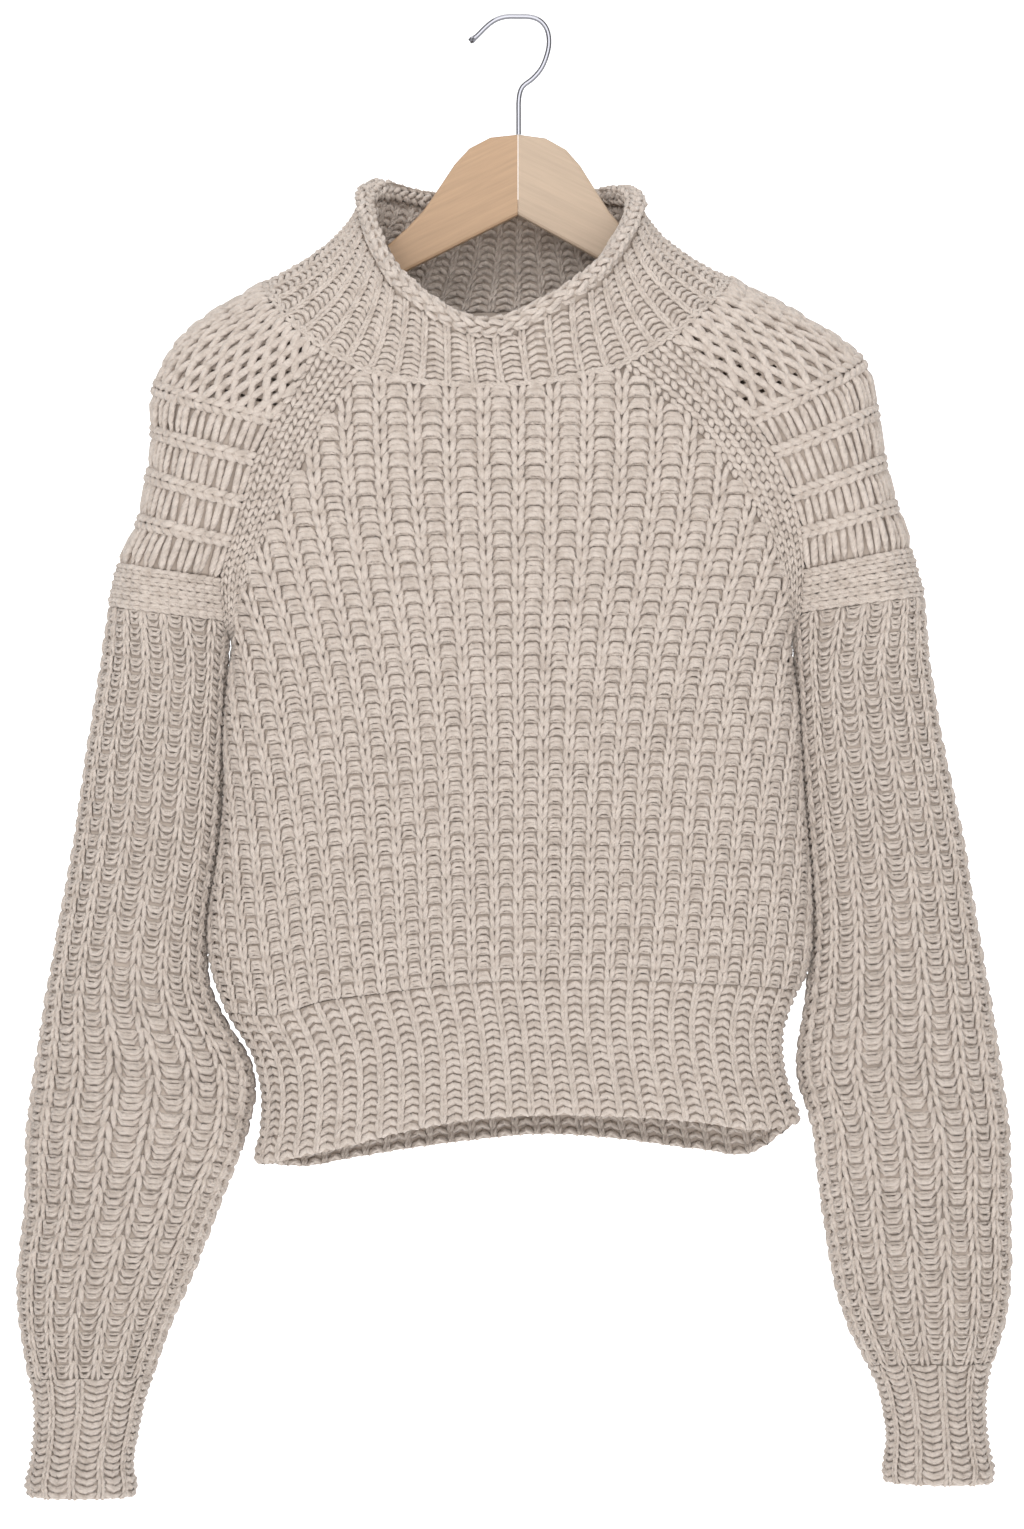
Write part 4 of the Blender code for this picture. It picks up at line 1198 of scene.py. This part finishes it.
def yoke(side, settings):
    """Shoulder piece: drop stitches between ridges, and a net with real holes near the neck."""
    first = WELT_TOP / BAND_ROWS
    rows, columns = YOKE_GRID
    surface = Surface(shoulder_grid(side, first, 1.0, rows, columns),
                      (150 * (-1 if side == "left" else 1), 0, -260))
    yarn = Yarn(settings.seed + 6, settings.yarn_size)
    girth = np.linalg.norm(np.diff(surface.points, axis=1), axis=2).sum(axis=1)

    def to_v(share):
        return (share - first) / (1.0 - first) * rows

    def loops_at(v):
        return int(round(float(np.interp(v, np.arange(rows + 1), girth)) / YOKE_LOOP))

    open_cells = np.zeros((rows, columns), dtype=bool)
    grid_v, grid_u = np.meshgrid(np.arange(rows) + 0.5, np.arange(columns) + 0.5, indexing="ij")
    for share in YOKE_RIDGES:
        v = to_v(share)
        loops = int(loops_at(v) * YOKE_RIDGE_LOOPS)
        ridge(yarn, surface, v - 1.3, loops, 2.2, 1.2, 2.2, 0.6)
        ridge(yarn, surface, v + 0.9, loops, 2.2, 1.4, 2.2, -0.6)
    # Long drop stitches between the ridges
    lines = (first, *YOKE_RIDGES)
    for low, high in zip(lines, lines[1:]):
        bottom = to_v(low) + (0.4 if low == first else 1.8)
        top = to_v(high) - 2.0
        loops = loops_at((bottom + top) / 2)
        u = (np.arange(loops) + 0.5) * columns / loops
        for mirror in (False, True):
            yarn.lay(surface, u, np.full(loops, bottom), columns / loops, top - bottom,
                     DROP_STITCH, mirror=mirror, loose=0.5)
    # Net of crossing stitches near the neck, open between them
    bottom = to_v(YOKE_RIDGES[-1]) + 1.6
    height = (rows - bottom) / YOKE_NET_ROWS
    loops = loops_at((bottom + rows) / 2)
    width = columns / loops
    for row in range(YOKE_NET_ROWS):
        v = bottom + row * height
        u = (np.arange(loops) + 0.5 * (row % 2) + 0.25) * width
        for mirror in (False, True):
            yarn.lay(surface, u, np.full(loops, v), width, height, NET_STITCH, mirror=mirror,
                     loose=0.4)
        here = np.interp(grid_v, np.arange(rows + 1), girth) / loops
        place = (grid_u - u[0]) / width
        beside = np.abs(place - np.round(place)) * here
        on_front = grid_u < columns / 2
        level = np.abs(grid_v - v - 0.95 * height)
        open_cells |= on_front & (level < YOKE_HOLE[1]) & (beside < YOKE_HOLE[0])
    open_cells[:, 0] = False
    open_cells[:, -1] = False
    cloth("yoke_" + side, surface, yarn, settings, None, open_cells=open_cells)


def welt(side, settings):
    """Band of ridges between the yoke and the sleeve."""
    surface = Surface(shoulder_grid(side, WELT_BOTTOM / BAND_ROWS, WELT_TOP / BAND_ROWS, 20, 56),
                      (200 * (-1 if side == "left" else 1), 0, -355))
    yarn = Yarn(settings.seed + 7, settings.yarn_size)
    for k in range(WELT_RIDGES):
        v = (k + 0.5) / WELT_RIDGES * surface.rows
        ridge(yarn, surface, v - 0.9, WELT_LOOPS, 2.0, 0.9, 1.6, 0.4)
        ridge(yarn, surface, v + 0.9, WELT_LOOPS, 2.0, 1.3, 1.7, -0.4)
    cloth("welt_" + side, surface, yarn, settings, None)


def sleeve(side, settings):
    """Sleeve tube from the welt to the cuff."""
    surface = Surface(sleeve_grid(side, 2), (235 * (-1 if side == "left" else 1), 3, -600), ring=True)
    yarn = Yarn(settings.seed + (8 if side == "left" else 9), settings.yarn_size, COARSE_SIDES)
    per_rib = surface.columns / SLEEVE_RIBS
    girth = np.linalg.norm(np.roll(surface.points, -1, axis=1) - surface.points, axis=2).sum(axis=1)

    def scale(v):
        spacing = np.interp(v, np.arange(len(girth)), girth) / SLEEVE_RIBS
        return np.clip(spacing / 15.5, 0.8, 1.15)
    laid = Cells(surface, np.arange(SLEEVE_RIBS), np.arange(surface.rows),
                 lambda rib: (np.asarray(rib, dtype=float) + 0.5) * per_rib,
                 lambda v: np.asarray(v, dtype=float), scale)
    half_cardigan(yarn, laid)
    cloth("sleeve_" + side, surface, yarn, settings, None)


def cuff(side, settings):
    """Ribbed cuff with a rolled end."""
    points, bulges = cuff_grid(side, CUFF_RIBS * 4)
    surface = Surface(points, (265 * (-1 if side == "left" else 1), 3, -875), ring=True,
                      lift=bulges[:, None, None])
    yarn = Yarn(settings.seed + (10 if side == "left" else 11), settings.yarn_size, COARSE_SIDES)
    fine_rib(yarn, Cells(surface, np.arange(CUFF_RIBS), np.arange(surface.rows),
                         lambda rib: (np.asarray(rib, dtype=float) + 0.5) * 4.0,
                         lambda v: np.asarray(v, dtype=float)))
    cloth("cuff_" + side, surface, yarn, settings, None)


def collar(settings):
    """Funnel collar, ribbed on both sides, with its rolled rim and neck chain."""
    points = collar_grid()
    share = np.linspace(0.0, 1.0, len(points))
    bulge = smooth(COLLAR_BULGE, 1, share)
    surface = Surface(points, (-11, -2, -160), ring=True, lift=bulge[:, None, None])
    yarn = Yarn(settings.seed + 12, settings.yarn_size)
    # Rows keep their height, so the low front has fewer of them than the back
    length = np.linalg.norm(np.diff(surface.points, axis=0), axis=2)
    height = length[:int(ROLL_START * surface.rows)].sum(axis=0)
    ribs, rows, step = [], [], []
    for rib in range(COLLAR_RIBS):
        column = int((rib + 0.5) * 2) % surface.columns
        count = max(4, int(round(height[column] / COLLAR_ROW)))
        ribs.append(np.full(count, rib))
        rows.append(np.arange(count) / count * ROLL_START * surface.rows)
        step.append(np.full(count, ROLL_START * surface.rows / count))
    u = (np.concatenate(ribs) + 0.5) * 2.0
    v = np.concatenate(rows)
    step = np.concatenate(step)
    for inside in (False, True):
        for mirror in (False, True):
            reach = 1.2 if inside else 1.0
            yarn.lay(surface, u, v * reach, 2.0, step * reach, FINE_LEG, mirror=mirror, inside=inside)
            yarn.lay(surface, u + (2.0 if mirror else 0.0), v * reach, 2.0, step * reach,
                     FINE_CHEVRON, scale=0.86 * reach, mirror=mirror, inside=inside)
    roll_rim(yarn, settings)
    neck_chain(yarn, surface)
    cloth("collar", surface, yarn, settings, None)


def roll_rim(yarn, settings):
    """The rolled rim: lines of short strands that run round the roll like a braid."""
    base = Surface(collar_grid(), (-11, -2, -160), ring=True)
    for line, turn in enumerate(np.radians(ROLL_LINES)):
        slant = math.radians(ROLL_SLANT) * (1 if line % 2 else -1)
        t = np.array([-0.2, 0.25, 0.75, 1.2])
        u = np.arange(ROLL_LOOPS)[:, None] + t[None, :] + 0.5 * (line // 2 % 2)
        u = u / ROLL_LOOPS * base.columns
        u = u + yarn.random.normal(0.0, 0.03, (ROLL_LOOPS, 1))
        around = turn + slant * (t[None, :] - 0.5) + yarn.random.normal(0.0, 0.05, (ROLL_LOOPS, 1))
        v = np.full(u.shape, ROLL_MIDDLE * base.rows)
        centre, normals = base.place(u, v, np.full(u.shape, 0.75))
        above, _ = base.place(u, v + 0.5, np.full(u.shape, 0.75))
        up = unit(above - centre)
        out = normals * np.cos(around)[:, :, None] + up * np.sin(around)[:, :, None]
        reach = ROLL_REACH + yarn.random.normal(0.0, 0.5, (ROLL_LOOPS, 1))
        reach = reach + np.array([-3.0, 1.0, 1.0, -3.0])[None, :]
        radius = np.array([0.9, 1.9, 1.9, 0.9])[None, :] * settings.yarn_size
        yarn.strands(centre + out * reach[:, :, None], out, np.broadcast_to(radius, u.shape))


def neck_chain(yarn, surface):
    """Chain of loops along the neck seam."""
    width = surface.columns / NECK_CHAIN_LOOPS
    for sign in (1.0, -1.0):
        strand = np.array([
            (-0.1, 0.1 * sign, 0.2, 1.0),
            (0.4, 0.7 * sign, 1.3, 1.45),
            (1.1, 0.1 * sign, 0.4, 1.0),
        ])
        yarn.lay(surface, np.arange(NECK_CHAIN_LOOPS) * width, np.full(NECK_CHAIN_LOOPS, 0.55), width,
                 0.8, strand)


def wood_finish(name, light, dark, slope):
    """Beech with its grain running down along an arm."""
    made = bpy.data.materials.new(name)
    made.use_nodes = True
    nodes = made.node_tree.nodes
    links = made.node_tree.links
    shader = nodes["Principled BSDF"]
    shader.inputs["Roughness"].default_value = 0.45
    place = nodes.new("ShaderNodeTexCoord")
    turned = nodes.new("ShaderNodeMapping")
    turned.vector_type = "TEXTURE"
    turned.inputs["Rotation"].default_value = (0.0, slope, 0.0)
    turned.inputs["Scale"].default_value = (0.08, 0.017, 0.0035)
    links.new(place.outputs["Object"], turned.inputs["Vector"])
    grain = nodes.new("ShaderNodeTexNoise")
    grain.inputs["Scale"].default_value = 1.6
    grain.inputs["Detail"].default_value = 5.0
    grain.inputs["Roughness"].default_value = 0.65
    links.new(turned.outputs[0], grain.inputs["Vector"])
    spread = nodes.new("ShaderNodeMapRange")
    spread.inputs["From Min"].default_value = 0.3
    spread.inputs["From Max"].default_value = 0.7
    links.new(grain.outputs["Fac"], spread.inputs["Value"])
    blend = nodes.new("ShaderNodeMix")
    blend.data_type = "RGBA"
    blend.inputs[6].default_value = colour_socket(dark)
    blend.inputs[7].default_value = colour_socket(light)
    links.new(spread.outputs[0], blend.inputs[0])
    links.new(blend.outputs[2], shader.inputs["Base Color"])
    bump = nodes.new("ShaderNodeBump")
    bump.inputs["Strength"].default_value = 0.15
    bump.inputs["Distance"].default_value = 0.0003
    links.new(grain.outputs["Fac"], bump.inputs["Height"])
    links.new(bump.outputs[0], shader.inputs["Normal"])
    return made


def chrome_finish():
    """Polished chrome with faint smears."""
    made = bpy.data.materials.new("polished chrome")
    made.use_nodes = True
    nodes = made.node_tree.nodes
    links = made.node_tree.links
    shader = nodes["Principled BSDF"]
    shader.inputs["Base Color"].default_value = (0.20, 0.20, 0.22, 1.0)
    shader.inputs["Metallic"].default_value = 1.0
    place = nodes.new("ShaderNodeTexCoord")
    smear = nodes.new("ShaderNodeTexNoise")
    smear.inputs["Scale"].default_value = 90.0
    links.new(place.outputs["Object"], smear.inputs["Vector"])
    spread = nodes.new("ShaderNodeMapRange")
    spread.inputs["To Min"].default_value = 0.08
    spread.inputs["To Max"].default_value = 0.2
    links.new(smear.outputs["Fac"], spread.inputs["Value"])
    links.new(spread.outputs[0], shader.inputs["Roughness"])
    return made


def finish_node(node, material):
    """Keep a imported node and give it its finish."""
    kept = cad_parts[node]
    kept.data.materials.clear()
    kept.data.materials.append(material)


class SweaterSettings(bpy.types.PropertyGroup):
    yarn_colour: bpy.props.FloatVectorProperty(
        name="Yarn colour", description="Colour of the lit yarn",
        subtype="COLOR", size=3, min=0.0, max=1.0, default=(0.66, 0.575, 0.51))
    # Darker fibres mixed at random into the yarn; darkened further, the same colour is the painted shade of
    # the cloth under the yarn.
    fibre_and_painted_shade_colour: bpy.props.FloatVectorProperty(
        name="Yarn shade", description="Darker fibres mixed into the yarn",
        subtype="COLOR", size=3, min=0.0, max=1.0, default=(0.525, 0.445, 0.385))
    yarn_size: bpy.props.FloatProperty(
        name="Yarn size", description="Thickness of the yarn against its usual thickness",
        subtype="FACTOR", min=0.7, max=1.3, default=1.0)
    sheen: bpy.props.FloatProperty(
        name="Fuzz", description="Soft light caught by loose fibres",
        subtype="FACTOR", min=0.0, max=1.0, default=0.3)
    seed: bpy.props.IntProperty(
        name="Unevenness seed", description="Another number gives other small irregularities",
        min=0, default=7)


class HangerSettings(bpy.types.PropertyGroup):
    left_colour: bpy.props.FloatVectorProperty(
        name="Left arm", description="Colour of the left arm's wood",
        subtype="COLOR", size=3, min=0.0, max=1.0, default=(0.48, 0.31, 0.185))
    right_colour: bpy.props.FloatVectorProperty(
        name="Right arm", description="Colour of the right arm's wood",
        subtype="COLOR", size=3, min=0.0, max=1.0, default=(0.53, 0.40, 0.29))


class StageSettings(bpy.types.PropertyGroup):
    distance: bpy.props.FloatProperty(
        name="Camera distance", description="From the hanger's plane to the camera",
        subtype="DISTANCE", unit="LENGTH", min=1.5, max=12.0, default=4.5)
    light: bpy.props.FloatProperty(
        name="Light", description="Strength of the studio light",
        subtype="FACTOR", min=0.1, max=4.0, default=1.05)
    backdrop_colour: bpy.props.FloatVectorProperty(
        name="Backdrop", description="Colour of floor and backdrop",
        subtype="COLOR", size=3, min=0.0, max=1.0, default=(0.93, 0.93, 0.93))


class SWEATER_OT_body(bpy.types.Operator):
    """Knit the front and back of the body"""
    bl_idname = "sweater.body"
    bl_label = "Body"

    def execute(self, context):
        for face in ("front", "back"):
            body_panel(face, context.scene.sweater)
        return {"FINISHED"}


class SWEATER_OT_hem(bpy.types.Operator):
    """Knit the hem ribs"""
    bl_idname = "sweater.hem"
    bl_label = "Hem ribs"

    def execute(self, context):
        for face in ("front", "back"):
            hem_panel(face, context.scene.sweater)
        return {"FINISHED"}


class SWEATER_OT_bands(bpy.types.Operator):
    """Knit the four raglan bands"""
    bl_idname = "sweater.bands"
    bl_label = "Raglan bands"

    def execute(self, context):
        for side in ("left", "right"):
            for face in ("front", "back"):
                raglan_band(face, side, context.scene.sweater)
        return {"FINISHED"}


class SWEATER_OT_shoulders(bpy.types.Operator):
    """Knit the openwork yokes and the welts under them"""
    bl_idname = "sweater.shoulders"
    bl_label = "Yokes and welts"

    def execute(self, context):
        for side in ("left", "right"):
            yoke(side, context.scene.sweater)
            welt(side, context.scene.sweater)
        return {"FINISHED"}


class SWEATER_OT_sleeves(bpy.types.Operator):
    """Knit the sleeves and cuffs"""
    bl_idname = "sweater.sleeves"
    bl_label = "Sleeves and cuffs"

    def execute(self, context):
        for side in ("left", "right"):
            sleeve(side, context.scene.sweater)
            cuff(side, context.scene.sweater)
        return {"FINISHED"}


class SWEATER_OT_collar(bpy.types.Operator):
    """Knit the funnel collar with its rolled rim"""
    bl_idname = "sweater.collar"
    bl_label = "Collar"

    def execute(self, context):
        collar(context.scene.sweater)
        return {"FINISHED"}


class SWEATER_OT_hanger(bpy.types.Operator):
    """Give the hanger its wood and chrome"""
    bl_idname = "sweater.hanger"
    bl_label = "Hanger"

    def execute(self, context):
        settings = context.scene.sweater_hanger
        left = wood_finish("beech, left arm", settings.left_colour,
                           [c * 0.82 for c in settings.left_colour], math.radians(-26))
        right = wood_finish("beech, right arm", settings.right_colour,
                            [c * 0.85 for c in settings.right_colour], math.radians(26))
        finish_node("hanger_arm_left", left)
        finish_node("hanger_arm_right", right)
        finish_node("hook", chrome_finish())
        return {"FINISHED"}


class SWEATER_OT_stage(bpy.types.Operator):
    """Set up camera, lights, floor and backdrop"""
    bl_idname = "sweater.stage"
    bl_label = "Stage"

    def execute(self, context):
        stage(context.scene, context.scene.sweater_stage)
        return {"FINISHED"}


class SWEATER_PT_panel(bpy.types.Panel):
    """Sizes, colours and steps of the sweater"""
    bl_label = "Sweater"
    bl_idname = "SWEATER_PT_panel"
    bl_space_type = "VIEW_3D"
    bl_region_type = "UI"
    bl_category = "Sweater"

    def draw(self, context):
        layout = self.layout
        for group, names in (
            (context.scene.sweater, ("yarn_colour", "fibre_and_painted_shade_colour", "yarn_size", "sheen", "seed")),
            (context.scene.sweater_hanger, ("left_colour", "right_colour")),
            (context.scene.sweater_stage, ("distance", "light", "backdrop_colour")),
        ):
            for name in names:
                layout.prop(group, name)
        for operator in OPERATORS:
            layout.operator(operator.bl_idname)


def area_light(name, place, aim, size, power, colour=(1.0, 1.0, 1.0)):
    """A large soft lamp that points at a spot."""
    data = bpy.data.lights.new(name, "AREA")
    data.shape = "RECTANGLE"
    data.size, data.size_y = size
    data.energy = power
    data.color = colour
    lamp = bpy.data.objects.new(name, data)
    lamp.location = place
    direction = np.array(aim) - np.array(place)
    turn = math.atan2(direction[1], direction[0]) - math.pi / 2
    tilt = math.atan2(direction[2], math.hypot(direction[0], direction[1]))
    lamp.rotation_euler = (math.pi / 2 + tilt, 0.0, turn)
    bpy.context.scene.collection.objects.link(lamp)
    return lamp


def stage(scene, settings):
    """Plain pale sweep, soft lamps and the camera of the photograph."""
    centre_x, centre_z = -0.0037, -0.4622
    camera_data = bpy.data.cameras.new("camera")
    camera_data.sensor_width = 36.0
    camera_data.lens = 36.0 * settings.distance / 0.948
    camera_data.clip_end = 60.0
    camera = bpy.data.objects.new("camera", camera_data)
    camera.location = (centre_x, -settings.distance, centre_z)
    camera.rotation_euler = (math.pi / 2, 0.0, 0.0)
    scene.collection.objects.link(camera)
    scene.camera = camera

    profile = [(-SWEEP_HALF_WIDTH, SWEEP_FLOOR)]
    for k in range(SWEEP_STEPS + 1):
        turn = math.pi / 2 * k / SWEEP_STEPS
        profile.append((SWEEP_BACK - SWEEP_BEND * (1 - math.sin(turn)),
                        SWEEP_FLOOR + SWEEP_BEND * (1 - math.cos(turn))))
    profile.append((SWEEP_BACK, SWEEP_TOP))
    vertices = np.array([(x, y, z) for y, z in profile for x in (-SWEEP_HALF_WIDTH, SWEEP_HALF_WIDTH)]) / MM
    faces = np.array([(2 * k, 2 * k + 1, 2 * k + 3, 2 * k + 2) for k in range(len(profile) - 1)])
    sweep = bpy.data.objects.new("backdrop", make_mesh("backdrop", vertices, faces))
    paper = bpy.data.materials.new("white paper")
    paper.use_nodes = True
    paper.node_tree.nodes["Principled BSDF"].inputs["Base Color"].default_value = (
        *settings.backdrop_colour, 1.0)
    paper.node_tree.nodes["Principled BSDF"].inputs["Roughness"].default_value = 0.9
    paper.node_tree.nodes["Principled BSDF"].inputs["Emission Color"].default_value = (1, 1, 1, 1)
    paper.node_tree.nodes["Principled BSDF"].inputs["Emission Strength"].default_value = 0.75
    sweep.data.materials.append(paper)
    scene.collection.objects.link(sweep)

    world = bpy.data.worlds.new("studio")
    world.use_nodes = True
    background = world.node_tree.nodes["Background"]
    background.inputs["Color"].default_value = (1.0, 1.0, 1.0, 1.0)
    background.inputs["Strength"].default_value = 0.48 * settings.light
    scene.world = world
    middle = (0.0, 0.0, -0.45)
    area_light("key", (-1.6, -2.6, 1.2), middle, (1.6, 1.6), 29.0 * settings.light)
    area_light("fill", (2.2, -2.8, 0.2), middle, (2.0, 2.4), 17.0 * settings.light)
    area_light("front", (0.2, -4.0, 0.5), middle, (1.4, 1.4), 25.0 * settings.light)
    area_light("neck", (0.0, -1.3, 1.0), (0.0, 0.04, -0.14), (0.4, 0.4), 4.0 * settings.light)
    area_light("top", (0.0, -0.2, 2.2), middle, (2.0, 1.2), 14.0 * settings.light)
    scene.view_settings.view_transform = "Standard"


OPERATORS = (
    SWEATER_OT_body, SWEATER_OT_hem, SWEATER_OT_bands, SWEATER_OT_shoulders,
    SWEATER_OT_sleeves, SWEATER_OT_collar, SWEATER_OT_hanger, SWEATER_OT_stage,
)
CLASSES = (SweaterSettings, HangerSettings, StageSettings, *OPERATORS, SWEATER_PT_panel)


def register():
    for made in CLASSES:
        bpy.utils.register_class(made)
    bpy.types.Scene.sweater = bpy.props.PointerProperty(type=SweaterSettings)
    bpy.types.Scene.sweater_hanger = bpy.props.PointerProperty(type=HangerSettings)
    bpy.types.Scene.sweater_stage = bpy.props.PointerProperty(type=StageSettings)


def unregister():
    del bpy.types.Scene.sweater_stage
    del bpy.types.Scene.sweater_hanger
    del bpy.types.Scene.sweater
    for made in reversed(CLASSES):
        bpy.utils.unregister_class(made)


def main():
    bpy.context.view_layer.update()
    register()
    bpy.ops.sweater.body()
    bpy.ops.sweater.hem()
    bpy.ops.sweater.bands()
    bpy.ops.sweater.shoulders()
    bpy.ops.sweater.sleeves()
    bpy.ops.sweater.collar()
    bpy.ops.sweater.hanger()
    bpy.ops.sweater.stage()


if __name__ == "__main__":
    main()
